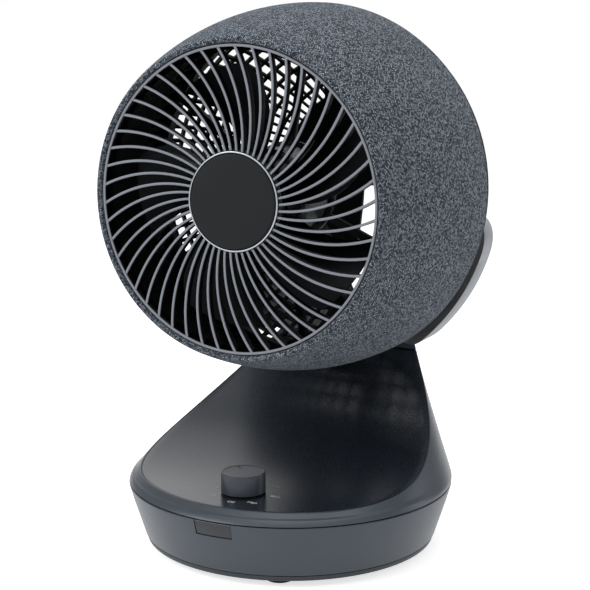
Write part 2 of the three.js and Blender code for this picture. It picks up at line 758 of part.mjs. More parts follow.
function headShell() {
  const depth = FABRIC + GAP + LINER;
  const seat = FACE_Y + RING_DEPTH + 3;
  const back = seat + 2.2;
  const outer = moved(beltLine(), FABRIC + GAP).slice(1);
  const inner = moved(beltLine(), depth).filter((point) => point[1] > back + 4).reverse();
  const lip = outer[0][0];
  const near = lip - SEAT_WIDTH;
  const ledge = [[beltRadius(back) - depth - 0.6, back], [near, back], [near, seat], [lip, seat]];
  return cut(turnedHead(outer.concat(inner, ledge), 36), vents());
}

function grilleBar(i) {
  const rings = [];
  const stages = 3;
  const start = HUB_RADIUS + GAP;
  const end = ringOuter - RING_WIDTH / 2;
  for (let s = 0; s <= stages; s += 1) {
    const part = s / stages;
    const radius = start + (end - start) * part;
    const angle = (i * 360 / BAR_COUNT + BAR_SWEEP * part ** BAR_LEAN) * degree;
    const half = (BAR_THIN + (BAR_THICK - BAR_THIN) * part) / 2;
    const front = HEAD_Y + FACE_Y + 0.5 - HUB_FORWARD * (1 - part * part);
    const ring = [];
    const back = front + BAR_DEPTH;
    for (const [side, y] of [[-half, front], [half, front], [half, back], [-half, back]]) {
      const x = radius * Math.cos(angle) - side * Math.sin(angle);
      const z = radius * Math.sin(angle) + side * Math.cos(angle);
      ring.push([x, y, headZ + z]);
    }
    rings.push(ring);
  }
  return lofted(rings);
}

function frontGrille() {
  const front = FACE_Y;
  const ring = ringHead(ringOuter - RING_WIDTH, ringOuter, front, front + RING_DEPTH - GAP, 50);
  const nose = FACE_Y - HUB_FORWARD;
  const hub = rodHead(HUB_RADIUS + HUB_LIP, nose + CAP_DEPTH + GAP, nose + BAR_DEPTH + 1, 50);
  const bars = [];
  for (let i = 0; i < BAR_COUNT; i += 1) bars.push(grilleBar(i));
  return Manifold.union([ring, hub, ...bars]);
}

function capRing() {
  const nose = FACE_Y - HUB_FORWARD;
  const back = nose + CAP_DEPTH;
  const inner = HUB_RADIUS - CAP_RING;
  const crown = HUB_RADIUS - CAP_RING / 3;
  const profile = [[inner, nose - 0.6], [crown, nose - 0.6], [HUB_RADIUS, nose]];
  profile.push([HUB_RADIUS, back], [inner, back]);
  return turnedHead(profile, 40);
}

function grilleCap() {
  const nose = FACE_Y - HUB_FORWARD;
  const outer = HUB_RADIUS - CAP_RING - GAP;
  const back = nose + CAP_DEPTH;
  const profile = [[0, nose - 1], [outer - 0.8, nose - 0.8], [outer, nose - 0.2], [outer, back], [0, back]];
  return turnedHead(profile, 40);
}

function duct() {
  const front = FACE_Y + RING_DEPTH + GAP;
  const flange = ringOuter + RING_SLOT + 1;
  const mouth = ringOuter - RING_WIDTH;
  const step = front + 2.2;
  const start = step + 4;
  const neck = ringOuter + RING_SLOT + FABRIC + GAP - SEAT_WIDTH - GAP;
  const places = [];
  for (let i = 0; i <= 2; i += 1) places.push(start + (VENT_FRONT - 1 - start) * i / 2);
  places.push(VENT_BACK + 1, DUCT_END);
  const inner = places.map((y) => [ductRadius(y), y]);
  const outer = places.map((y) => [ductRadius(y) + DUCT_WALL, y]);
  const profile = [[mouth, front], [flange, front], [flange, step], [neck, step], [neck, start - 0.5]];
  return cut(turnedHead(profile.concat(outer, inner.reverse()), 36), vents());
}

// Openings spaced round the wall of the head.
function vents() {
  const tools = [];
  const far = ductRadius(VENT_BACK) + 4 + DUCT_INSET;
  const near = ductRadius(VENT_FRONT) - 4;
  const middle = HEAD_Y + (VENT_FRONT + VENT_BACK) / 2;
  const tool = block(far - near, VENT_BACK - VENT_FRONT, VENT_WIDTH, (near + far) / 2, middle, headZ);
  for (let i = 0; i < VENT_COUNT; i += 1) tools.push(turnedHeadCopy(tool, (i + 0.25) * 360 / VENT_COUNT));
  return Manifold.union(tools);
}

function blade(i) {
  const rings = [];
  const stages = 4;
  const across = 3;
  for (let s = 0; s <= stages; s += 1) {
    const part = s / stages;
    const radius = ROTOR_HUB - 2 + (bladeTip - ROTOR_HUB + 2) * part;
    const span = (46 - 8 * part) * degree;
    const middle = (rotorFront + rotorBack) / 2 + 1;
    const rise = (10.5 - 3 * part);
    const upper = [];
    const lower = [];
    for (let k = 0; k <= across; k += 1) {
      const way = k / across * 2 - 1;
      const angle = i * 360 / BLADE_COUNT * degree + span * way / 2 * 1.35 + 0.35 * part * part;
      const y = HEAD_Y + middle + rise * way - 2.5 * (1 - way * way);
      const thick = 0.7 + 0.7 * (1 - way * way);
      upper.push([radius * Math.cos(angle), y - thick, headZ + radius * Math.sin(angle)]);
      lower.push([radius * Math.cos(angle), y + thick, headZ + radius * Math.sin(angle)]);
    }
    rings.push(upper.concat(lower.reverse()));
  }
  return lofted(rings);
}

function fanRotor() {
  const skin = 2.2;
  const boss = 8;
  const profile = [[0, rotorFront + 3], [ROTOR_HUB - 4, rotorFront + 3], [ROTOR_HUB, rotorFront + 6]];
  profile.push([ROTOR_HUB, rotorBack], [ROTOR_HUB - skin, rotorBack], [ROTOR_HUB - skin, rotorFront + 8]);
  profile.push([boss, rotorFront + 8], [boss, rotorBack + 1], [0, rotorBack + 1]);
  const blades = [];
  for (let i = 0; i < BLADE_COUNT; i += 1) blades.push(blade(i));
  const room = ringHead(0.01, ROTOR_HUB - skin, rotorFront + 8, rotorBack + 20, 24);
  const boss2 = rodHead(boss, rotorFront + 7, rotorBack + 1);
  const wings = cut(Manifold.union(blades), room);
  const rotor = join(turnedHead(profile, 24), wings, boss2);
  return cut(rotor, rodHead(SHAFT_RADIUS + GAP, rotorFront - 2, rotorBack + 4));
}

function spinnerNut() {
  const back = rotorFront + 3 - GAP;
  const profile = [[0, back - 7], [4, back - 7], [8, back - 5], [9, back], [SHAFT_RADIUS + GAP, back]];
  profile.push([SHAFT_RADIUS + GAP, back - 4.5], [0, back - 4.5]);
  return turnedHead(profile, 24);
}

function motorShaft() {
  return rodHead(SHAFT_RADIUS, rotorFront - 1.2, motorFront + 10, 24);
}

function motor() {
  const edge = 2;
  const shoulder = motorFront + 1;
  const profile = [[0, motorFront], [10, motorFront], [10, shoulder], [MOTOR_RADIUS - edge, shoulder]];
  profile.push([MOTOR_RADIUS, motorFront + 1 + edge], [MOTOR_RADIUS, motorBack - edge]);
  profile.push([MOTOR_RADIUS - edge, motorBack], [0, motorBack]);
  const can = turnedHead(profile, 24);
  return cut(can, rodHead(SHAFT_RADIUS + SLIDE, motorFront - 2, motorFront + 12, 24));
}

function motorMount() {
  const front = motorBack + GAP;
  const low = VENT_BACK + 1.5;
  const high = DUCT_END - 1.5;
  const edge = ductRadius(low) - GAP;
  const ring = ringHead(edge - MOUNT_RIM, edge, low, high, 36);
  let mount = join(ring, rodHead(MOTOR_RADIUS + 3, front, mountBack, 40));
  const inward = [MOTOR_RADIUS, front + 0.3, mountBack - 0.3];
  const outward = [edge - MOUNT_RIM / 2, low + 1, high - 1];
  const arm = lofted([inward, outward].map(([r, near, far]) => spokeRing(r, near, far)));
  for (let i = 0; i < SPOKE_COUNT; i += 1) {
    mount = join(mount, turnedHeadCopy(arm, (i + 0.5) * 360 / SPOKE_COUNT));
  }
  const inside = ARM_HALF + WASHER + 2 * GAP;
  for (const side of [-1, 1]) {
    const near = side > 0 ? inside : -inside - CHEEK;
    const cheek = rodAcross(EYE_RADIUS, near, near + CHEEK, 28);
    const web = block(CHEEK, -mountBack + 0.5, EYE_RADIUS * 2, near + CHEEK / 2,
      HEAD_Y + mountBack / 2 - 0.25, headZ);
    mount = join(mount, cheek, web);
  }
  const clear = rodAcross(EYE_RADIUS + 1.5, -inside, inside, 20);
  const pin = rodAcross(PIN_RADIUS + GAP, -REACH, REACH);
  return cut(mount, pin, clear);
}

// Four corners of a spoke's section at a radius.
function spokeRing(radius, near, far) {
  const half = SPOKE_WIDTH / 2;
  const corners = [[-half, near], [half, near], [half, far], [-half, far]];
  return corners.map(([side, y]) => [radius, HEAD_Y + y, headZ + side]);
}

function tiltWasher(side) {
  const near = ARM_HALF + GAP;
  const low = side > 0 ? near : -near - WASHER;
  return cut(rodAcross(8, low, low + WASHER, 24), rodAcross(PIN_RADIUS + GAP, -REACH, REACH, 24));
}

function tiltPin() {
  const outside = ARM_HALF + WASHER + 2 * GAP + CHEEK;
  const body = rodAcross(PIN_RADIUS, -outside - 6, outside + GAP + 0.5, 24);
  return join(body, rodAcross(7, outside + GAP, outside + GAP + 2.5, 24));
}

function tiltNut() {
  const outside = ARM_HALF + WASHER + 2 * GAP + CHEEK + GAP;
  const nut = rodAcross(7, -outside - 4, -outside, 6);
  return cut(nut, rodAcross(PIN_RADIUS + GAP, -REACH, REACH, 24));
}

function rearGuard() {
  const inner = domeRadius - GUARD_WALL;
  const middles = [GUARD_RING, GUARD_CENTRE - 1, GUARD_CENTRE / 2, 0];
  const angles = middles.map((angle) => angle * degree);
  const outward = [Math.acos((BELT_END + GAP) / domeRadius), ...angles];
  const inward = [Math.acos((BELT_END + GAP) / inner), ...angles].reverse();
  const place = (radius) => (angle) => [radius * Math.sin(angle), radius * Math.cos(angle)];
  const points = outward.map(place(domeRadius)).concat(inward.map(place(inner)));
  const tools = [];
  for (const [low, high] of [[GUARD_CENTRE, GUARD_RING - 2], [GUARD_RING + 2, GUARD_EDGE]]) {
    const tool = guardSlot(low, high);
    for (let i = 0; i < SLOT_COUNT; i += 1) tools.push(turnedHeadCopy(tool, (i + 0.5) * 360 / SLOT_COUNT));
  }
  return cut(raisedLook(cut(turnedHead(points, 36), Manifold.union(tools))), armWay());
}

// The space the tilt arm passes through, seen from the moving head.
function armWay() {
  const points = [];
  const spread = Math.asin((ARM_WIDTH / 2 + ARM_PLAY) / (domeRadius - GUARD_WALL)) / degree;
  const low = -ARM_ANGLE - TILT_DOWN - spread;
  const high = -ARM_ANGLE + TILT_UP + spread;
  const steps = 8;
  for (let i = 0; i <= steps; i += 1) {
    const angle = (low + (high - low) * i / steps) * degree;
    points.push([HEAD_Y + REACH * Math.cos(angle), headZ + REACH * Math.sin(angle)]);
  }
  points.push([HEAD_Y, headZ]);
  const half = ARM_HALF + ARM_PLAY;
  const way = stretchedAcross(points, -half, half);
  return common(way, block(REACH, REACH, 2 * REACH, 0, HEAD_Y + BELT_END / 2 + REACH / 2, headZ));
}

// A cutter between two angles from the rear pole, all its faces pointing at the pivot.
function guardSlot(low, high) {
  const half = SLOT_SHARE * 180 / SLOT_COUNT;
  const corners = [[low, -half], [low, half], [high, half], [high, -half]];
  const rings = [0.9, 1.1].map((share) => corners.map(([pole, turn]) => {
    const radius = domeRadius * share * Math.sin(pole * degree);
    const y = domeRadius * share * Math.cos(pole * degree);
    return [radius * Math.cos(turn * degree), HEAD_Y + y, headZ + radius * Math.sin(turn * degree)];
  }));
  return lofted(rings);
}

// ---- assembly ----

const fan = new THREE.Group();
fan.name = 'air_circulator_fan';

function add(name, body, colour, roughness = 0.6, metalness = 0) {
  const material = new THREE.MeshStandardMaterial({ color: colour, roughness, metalness });
  material.name = name + '_material';
  const mesh = new THREE.Mesh(geometryOf(body), material);
  mesh.name = name;
  fan.add(mesh);
}

const shade = {
  dark: 0x3a3d42,
  bowl: 0x53585f,
  panel: 0x2f3236,
  fabric: 0x5a6068,
  grey: 0x84888d,
  light: 0xb9bbbe,
  black: 0x202225,
  steel: 0xa7a9ab,
  zinc: 0xc2c4c6,
  brass: 0xb6a268,
  nylon: 0xe4e2dc,
  board: 0x2c5a3c,
};

add('base_plate', basePlate(), shade.black, 0.6);
for (let i = 0; i < FOOT_COUNT; i += 1) add('foot_' + (i + 1), foot(i), shade.black, 0.9);
add('base_bowl', baseBowl(), shade.bowl, 0.45);
add('ir_window', irWindow(), shade.dark, 0.15);
add('ir_board', irBoard(), shade.board, 0.5);
add('ballast_ring', ballastRing(), shade.steel, 0.5, 0.8);
add('swivel_post', swivelPost(), shade.zinc, 0.35, 0.9);
add('swivel_gear', swivelGear(), shade.nylon, 0.5);
add('glide_ring', glideRing(), shade.nylon, 0.4);
add('retainer_nut', retainerNut(), shade.zinc, 0.35, 0.9);
add('swivel_pan', swivelPan(), shade.dark, 0.5);
add('control_board', controlBoard(), shade.board, 0.5);
add('swivel_drive', swivelDrive(), shade.steel, 0.4, 0.8);
add('pinion', pinion(), shade.nylon, 0.5);
add('pedestal_shell', pedestalShell(), shade.bowl, 0.45);
add('control_panel', controlPanel(), shade.panel, 0.35);
add('rotary_switch', rotarySwitch(), shade.black, 0.5);
add('switch_nut', switchNut(), shade.brass, 0.35, 0.9);
add('speed_knob', speedKnob(), shade.dark, 0.4);
add('cradle', cradle(), shade.grey, 0.45);
add('tilt_arm', tiltArm(), shade.dark, 0.5);
add('tilt_pin', tiltPin(), shade.zinc, 0.3, 0.9);
add('tilt_nut', tiltNut(), shade.zinc, 0.3, 0.9);
add('tilt_washer_left', tiltWasher(-1), shade.nylon, 0.4);
add('tilt_washer_right', tiltWasher(1), shade.nylon, 0.4);
add('head_shell', raisedLook(headShell()), shade.black, 0.6);
add('fabric_cover', raisedLook(fabricCover()), shade.fabric, 0.95);
add('front_grille', raisedLook(frontGrille()), shade.grey, 0.45);
add('cap_ring', raisedLook(capRing()), shade.light, 0.3);
add('grille_cap', raisedLook(grilleCap()), shade.dark, 0.35);
add('duct', raisedLook(duct()), shade.black, 0.6);
add('fan_rotor', raisedLook(fanRotor()), shade.black, 0.4);
add('spinner_nut', raisedLook(spinnerNut()), shade.black, 0.4);
add('motor_shaft', raisedLook(motorShaft()), shade.zinc, 0.3, 0.9);
add('motor', raisedLook(motor()), shade.steel, 0.4, 0.8);
add('motor_mount', raisedLook(motorMount()), shade.dark, 0.5);
add('rear_guard', rearGuard(), shade.dark, 0.5);

// The middle of the outline stands over the origin.
const reach = new THREE.Box3().setFromObject(fan);
fan.position.y = -(reach.min.y + reach.max.y) / 2;

export default fan;
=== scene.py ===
"""An air circulator fan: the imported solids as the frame, and the visible pieces made over them."""

import json
import math

import bmesh
import bpy
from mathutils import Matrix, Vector


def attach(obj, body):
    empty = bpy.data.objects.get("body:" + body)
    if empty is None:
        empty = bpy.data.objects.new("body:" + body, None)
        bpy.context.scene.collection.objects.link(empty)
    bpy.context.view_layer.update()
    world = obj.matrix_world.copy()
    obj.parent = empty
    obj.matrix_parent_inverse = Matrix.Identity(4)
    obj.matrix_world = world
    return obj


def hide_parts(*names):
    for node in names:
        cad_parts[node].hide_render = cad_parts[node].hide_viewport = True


bl_info = {
    "name": "Air circulator fan",
    "version": (1, 0, 0),
    "blender": (4, 5, 0),
    "location": "3D View > Sidebar > Fan",
    "description": "Builds the visible pieces of an air circulator fan over its packed solids",
    "category": "Object",
}

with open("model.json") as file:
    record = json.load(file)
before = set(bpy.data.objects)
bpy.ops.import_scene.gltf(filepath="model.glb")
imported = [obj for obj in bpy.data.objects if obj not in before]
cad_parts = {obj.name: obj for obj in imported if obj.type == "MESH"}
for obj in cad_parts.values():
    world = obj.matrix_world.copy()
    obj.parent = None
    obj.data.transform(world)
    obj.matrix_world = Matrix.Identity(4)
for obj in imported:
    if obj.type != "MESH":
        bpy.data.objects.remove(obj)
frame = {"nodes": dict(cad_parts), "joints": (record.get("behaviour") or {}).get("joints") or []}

TAU = 2 * math.pi
MM = 0.001


def joint_place(name):
    """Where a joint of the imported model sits, in metres."""
    for joint in frame["joints"]:
        if joint["name"] == name:
            return Vector(joint["pos_m"])
    raise RuntimeError("the packed model has no joint " + name)


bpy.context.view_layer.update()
AXIS = joint_place("swivel")
AXIS.z = 0
PIVOT = joint_place("tilt")

# ---- sizes, in millimetres unless the name says otherwise ----

GAP = 0.35  # seam between two pieces

FOOT_HEIGHT = 4
FOOT_COUNT = 5
FOOT_CIRCLE = 80
FOOT_RADIUS = 9
FOOT_START = -68  # degrees from the right to the first foot
PLATE_THICK = 2.4
RIM_Z = 7.6
RIM_WIDTH = 3.2
BASE_RADIUS = 96
WAIST_RADIUS = 108
WAIST_Z = 42.5
DECK_HOLE = 88.4
SEAM = 0.7
WALL = 2.6
WINDOW_HALF = 13
WINDOW_HEIGHT = 10
WINDOW_RADIUS = 107.5

NECK_SEAM = 74
NECK_TOP = 92
PANEL_LOW = 7
PANEL_START = -80
PANEL_END = 0.75 * NECK_SEAM + 0.0035 * NECK_SEAM**2 + 9.3
PANEL_INSET = 1.4
WALL_BELOW = 0.45  # how far the wall's edge stays under the panel's line
FOOT_BEVEL = 3.2  # height of the rounding along the foot of the wall
FOOT_SWELL = 0.45  # how far the wall stands out above that rounding
KNOB_Y = -66
KNOB_RADIUS = 14.2
KNOB_HEIGHT = 12.8
INK_RISE = 0.07

HEAD_TILT = math.radians(1.25)
FACE_Y = -86.2
BELT_END = 30
BELT_MEAN_RADIUS = 111
BELT_THICK = 1.3
LIP = 95.1
RING_OUTER = 94.5
RING_WIDTH = 1.7
RING_DEPTH = 5.6
HUB_RADIUS = 30.7
TRIM_WIDTH = 1.3
BAR_SWEEP = 18.5  # degrees that a bar turns from hub to ring
NOSE_Y = FACE_Y - 2
DUCT_FRONT = FACE_Y + 6.4
VENT_FRONT = -20
VENT_BACK = 10
BLADE_COUNT = 5
BLADE_ROOT = 24
BLADE_Y = -57.5
BLADE_TIP = RING_OUTER - 11.5
BLADE_STRETCH = 1.05  # factor on the angle that a blade spans
ROTOR_TURN = math.radians(20)
DOME = math.hypot(30, 120)
ARM_SLOT = 7  # half width of the guard's slot for the tilt arm
ARM_RIM = 4.5  # solid strip on each side of that slot

YOKE_INNER = 129.3
YOKE_THICK = 10
YOKE_OUTSIDE = (108.4, -23.5, 3)  # radius, height of its middle, rise of the ends
YOKE_INSIDE = (56, -40, 11.5)
YOKE_DRAW_IN = 20  # how much smaller the outside radius is at the bottom

# ---- stage ----

CAMERA_PLACE = (459.05, -908.76, 365.11)
CAMERA_AIM = (-7.64, 22.11, 160.54)
CAMERA_LENS = 96.62
LAMP_AIM = Vector((0, 0, 0.17))
LAMPS = (
    ("key_box", (-1.1, -1.3, 1.25), (1.1, 1.1), 17),
    ("top_box", (0.1, 0.1, 1.7), (1.2, 1.2), 10),
    ("side_box", (1.5, 1.1, 0.6), (0.6, 1.2), 5),
)
SKY_LEVEL = 0.42
FLOOR_GLOW = 0.68
ROOM_SIDES = 0.3
BEHIND_FAN = (-0.368, 0.93, 0)


def base_radius(z):
    """Outside of the base at a height."""
    share = (z - FOOT_HEIGHT) / (WAIST_Z - FOOT_HEIGHT)
    return BASE_RADIUS + (WAIST_RADIUS - BASE_RADIUS) * share


def side_width(h):
    """Half width of the pedestal, h above the waist."""
    return WAIST_RADIUS - 0.6 * h - 0.0011 * h * h


def rear_depth(h):
    """Depth of the pedestal behind its own middle."""
    return side_width(h) * (1 - 0.5 * (h / 80) ** 2)


def lean_at(h):
    """How far the pedestal's middle has moved back."""
    return 0.75 * h + 0.0035 * h * h


def panel_height(y):
    """Height of the panel's face above the waist."""
    along = max(0, (y - PANEL_START) / (PANEL_END - PANEL_START))
    return PANEL_LOW + (NECK_SEAM - PANEL_LOW) * along**2.5


def belt_radius(y):
    """Outside of the fabric belt, y behind the tilt pivot."""
    along = (y - FACE_Y) / (BELT_END - FACE_Y)
    return 99 + 21 * along + 23.2 * along * (1 - along)


def duct_radius(y):
    """Inside of the duct."""
    return belt_radius(y) - 10.6 + 4.3 * max(0, (y + 20) / 40)


def on_base(x, y, z):
    """A point in metres, from millimetres about the foot of the swivel axis."""
    return Vector((AXIS.x + x * MM, AXIS.y + y * MM, z * MM))


def by_pivot(x, y, z):
    """A point in metres, from millimetres about the tilt pivot."""
    return Vector((PIVOT.x + x * MM, PIVOT.y + y * MM, PIVOT.z + z * MM))


def on_head(x, y, z):
    """A point in metres, from millimetres about the pivot in the head, which looks up a little at rest."""
    back = y * math.cos(HEAD_TILT) + z * math.sin(HEAD_TILT)
    up = z * math.cos(HEAD_TILT) - y * math.sin(HEAD_TILT)
    return by_pivot(x, back, up)


def round_base(radius, height, turn):
    """A point at a radius about the swivel axis."""
    return on_base(radius * math.cos(turn), radius * math.sin(turn), height)


def round_head(radius, y, turn):
    """A point at a radius about the axis of the head."""
    return on_head(radius * math.cos(turn), y, radius * math.sin(turn))


def round_knob(radius, height, turn):
    """A point at a radius about the knob's axis."""
    return on_base(radius * math.cos(turn), KNOB_Y + radius * math.sin(turn), height)


# ---- colours ----


def linear(text):
    """A colour written as sRGB hex, as linear red, green, blue and alpha."""
    parts = []
    for start in (0, 2, 4):
        value = int(text[start : start + 2], 16) / 255
        parts.append(value / 12.92 if value <= 0.04045 else ((value + 0.055) / 1.055) ** 2.4)
    return (*parts, 1.0)


def length_prop(name, metres, description):
    """A length that the user can change."""
    return bpy.props.FloatProperty(
        name=name, description=description, default=metres, unit="LENGTH"
    )


class FanSizes(bpy.types.PropertyGroup):
    """Sizes of what the solids leave out."""

    thread: length_prop("Thread pitch", 0.00078, "Distance between two threads of the fabric")
    thread_relief: length_prop("Thread relief", 0.0003, "How far a thread stands out of the weave")
    grain: length_prop("Mould grain", 0.0011, "Size of the grain left by a textured mould")
    bars: bpy.props.IntProperty(name="Bars", description="Curved bars in the front grille", default=50)
    slots: bpy.props.IntProperty(name="Slots", description="Slots in one row of the rear guard", default=72)
    vents: bpy.props.IntProperty(name="Vents", description="Openings round the duct", default=72)
    letters: length_prop("Letters", 0.0037, "Height of the lettering round the dial")
    floor: length_prop("Floor", 8.0, "Side of the floor")


def colour_prop(name, text, description):
    """A colour that the user can change."""
    return bpy.props.FloatVectorProperty(
        name=name, description=description, default=linear(text), size=4, subtype="COLOR", min=0, max=1
    )


class FanColours(bpy.types.PropertyGroup):
    """Colours of the visible materials."""

    yarn_dark: colour_prop("Dark yarn", "07090c", "Darkest fibres of the melange yarn")
    yarn_middle: colour_prop("Middle yarn", "39414b", "Main colour of the melange yarn")
    yarn_light: colour_prop("Light yarn", "b2bac6", "Lightest fibres of the melange yarn")
    bowl: colour_prop("Base", "40474f", "Base bowl and pedestal wall")
    panel: colour_prop("Panel", "1e242b", "Control panel")
    knob: colour_prop("Knob", "363b42", "Speed knob")
    bars: colour_prop("Grille", "8f939b", "Front grille")
    ring: colour_prop("Ring", "a9adb2", "Bright ring round the cap")
    cap: colour_prop("Cap", "262829", "Cap in the middle of the grille")
    inside: colour_prop("Inside", "030304", "Duct and shell")
    rotor: colour_prop("Rotor", "040506", "Fan rotor")
    guard: colour_prop("Guard", "121315", "Rear guard")
    # The cradle's light grey is painted reflection, standing in for its grazing sheen.
    cradle: colour_prop("Cradle", "a0a4a9", "Cradle behind the head")
    ink: colour_prop("Ink", "d3d6da", "Lettering round the dial")
    floor: colour_prop("Floor", "e9e9e9", "Floor under the fan")


def sizes():
    return bpy.context.scene.fan_sizes


def colours():
    return bpy.context.scene.fan_colours


# ---- mesh building ----


def rounded(corners, steps=4):
    """A closed outline with its corners rounded. Each corner is (u, v, radius)."""
    line = []
    for i, (u, v, radius) in enumerate(corners):
        here = Vector((u, v))
        if radius <= 0:
            line.append((u, v))
            continue
        before = Vector(corners[i - 1][:2]) - here
        after = Vector(corners[(i + 1) % len(corners)][:2]) - here
        half = before.angle(after) / 2
        reach = min(radius / math.tan(half), before.length * 0.48, after.length * 0.48)
        start = here + before.normalized() * reach
        end = here + after.normalized() * reach
        for k in range(steps + 1):
            t = k / steps
            point = start * (1 - t) ** 2 + here * (2 * t * (1 - t)) + end * t * t
            line.append((point.x, point.y))
    return line


def grid_faces(rows, columns, closed_rows, closed_columns, skip=None):
    """Quads between the points of a grid, left out where skip(row, column) holds."""
    faces = []
    for i in range(rows if closed_rows else rows - 1):
        j = (i + 1) % rows
        for k in range(columns if closed_columns else columns - 1):
            m = (k + 1) % columns
            if skip is None or not skip(i, k):
                faces.append((i * columns + k, i * columns + m, j * columns + m, j * columns + k))
    return faces


def crisp(piece, angle):
    """Smooth faces with edges sharper than the angle kept crisp."""
    piece.data.shade_smooth()
    piece.data.set_sharp_from_angle(angle=math.radians(angle))
    return piece


def make_mesh(name, points, faces, angle=35, map_points=None):
    """A mesh object with welded points, outward faces and edges sharper than the angle kept crisp.

    The map points are flat places of the points, for a weave or for the depth behind a front, where painted
    shade darkens the flanks.
    """
    mesh = bpy.data.meshes.new(name)
    mesh.from_pydata(points, [], faces)
    if map_points:
        layer = mesh.uv_layers.new(name="flat")
        for loop in mesh.loops:
            layer.data[loop.index].uv = map_points[loop.vertex_index]
    work = bmesh.new()
    work.from_mesh(mesh)
    bmesh.ops.remove_doubles(work, verts=work.verts, dist=2e-6)
    bmesh.ops.dissolve_degenerate(work, edges=work.edges, dist=1e-7)
    bmesh.ops.recalc_face_normals(work, faces=work.faces)
    work.to_mesh(mesh)
    work.free()
    piece = bpy.data.objects.new(name, mesh)
    bpy.context.scene.collection.objects.link(piece)
    return crisp(piece, angle)


def capped(rows):
    """Points and faces of a closed section that runs through the rows, with both ends shut."""
    across = len(rows[0])
    last = (len(rows) - 1) * across
    faces = grid_faces(len(rows), across, False, True)
    faces += [tuple(range(across)), tuple(last + k for k in reversed(range(across)))]
    return [point for row in rows for point in row], faces


def capped_together(solids):
    """Points and faces of several such solids as one mesh."""
    points, faces = [], []
    for rows in solids:
        own_points, own_faces = capped(rows)
        faces += [tuple(len(points) + k for k in face) for face in own_faces]
        points += own_points
    return points, faces


def turned(name, outline, place, steps=192, angle=35, front=None):
    """A closed outline turned through a whole circle.

    Where a front is given, the map holds the depth behind it in millimetres.
    """
    points = [place(r, along, k / steps * TAU) for r, along in outline for k in range(steps)]
    spots = None
    if front is not None:
        spots = [(0, along - front) for _, along in outline for _ in range(steps)]
    return make_mesh(name, points, grid_faces(len(outline), steps, True, True), angle, spots)


def line_corners(near, far, half, turn):
    """Corners of a short straight line that points at the middle."""
    corners = []
    for radius, side in ((near, -half), (near, half), (far, half), (far, -half)):
        x = radius * math.cos(turn) - side * math.sin(turn)
        y = radius * math.sin(turn) + side * math.cos(turn)
        corners.append((x, y))
    return corners


def thicken(piece, depth, offset):
    """Gives an open sheet its thickness in millimetres."""
    solid = piece.modifiers.new("thickness", "SOLIDIFY")
    solid.thickness = depth * MM
    solid.offset = offset
    return piece


def apply_modifiers(piece):
    """Makes the shape that the modifiers give the piece's own mesh."""
    bpy.context.view_layer.update()
    shown = piece.evaluated_get(bpy.context.evaluated_depsgraph_get())
    mesh = bpy.data.meshes.new_from_object(shown)
    piece.modifiers.clear()
    piece.data = mesh
    return piece


def cut_away(piece, tool):
    """Takes the tool's shape out of the piece, and then removes the tool."""
    change = piece.modifiers.new("shape", "BOOLEAN")
    change.operation = "DIFFERENCE"
    change.object = tool
    change.solver = "EXACT"
    apply_modifiers(piece)
    bpy.data.objects.remove(tool)
    return piece


def dress(piece, body, slot, material, *nodes):
    """Gives the piece its material and its place in the frame."""
    piece.data.materials.clear()
    piece.data.materials.append(material)
    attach(piece, body)
    if nodes:
        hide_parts(*nodes)
    return piece


def paint_node(material, *names):
    """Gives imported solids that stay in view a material."""
    for name in names:
        for slot in frame["nodes"][name].material_slots:
            slot.material = material


# ---- materials ----

WEAR_PATCH = 0.045  # metres across a patch of faint wear
METAL_GRAIN = 0.0006  # metres across the grain of a turned or plated metal


def put(tree, kind, inputs=None, **settings):
    """Adds a node. Each input is a value or the output socket that feeds it."""
    made = tree.nodes.new(kind)
    for key, value in settings.items():
        setattr(made, key, value)
    for key, value in (inputs or {}).items():
        if isinstance(value, bpy.types.NodeSocket):
            tree.links.new(value, made.inputs[key])
        else:
            made.inputs[key].default_value = value
    return made


def begin(name):
    """An empty material and its node tree."""
    material = bpy.data.materials.new(name)
    material.use_nodes = True
    material.node_tree.nodes.clear()
    return material, material.node_tree


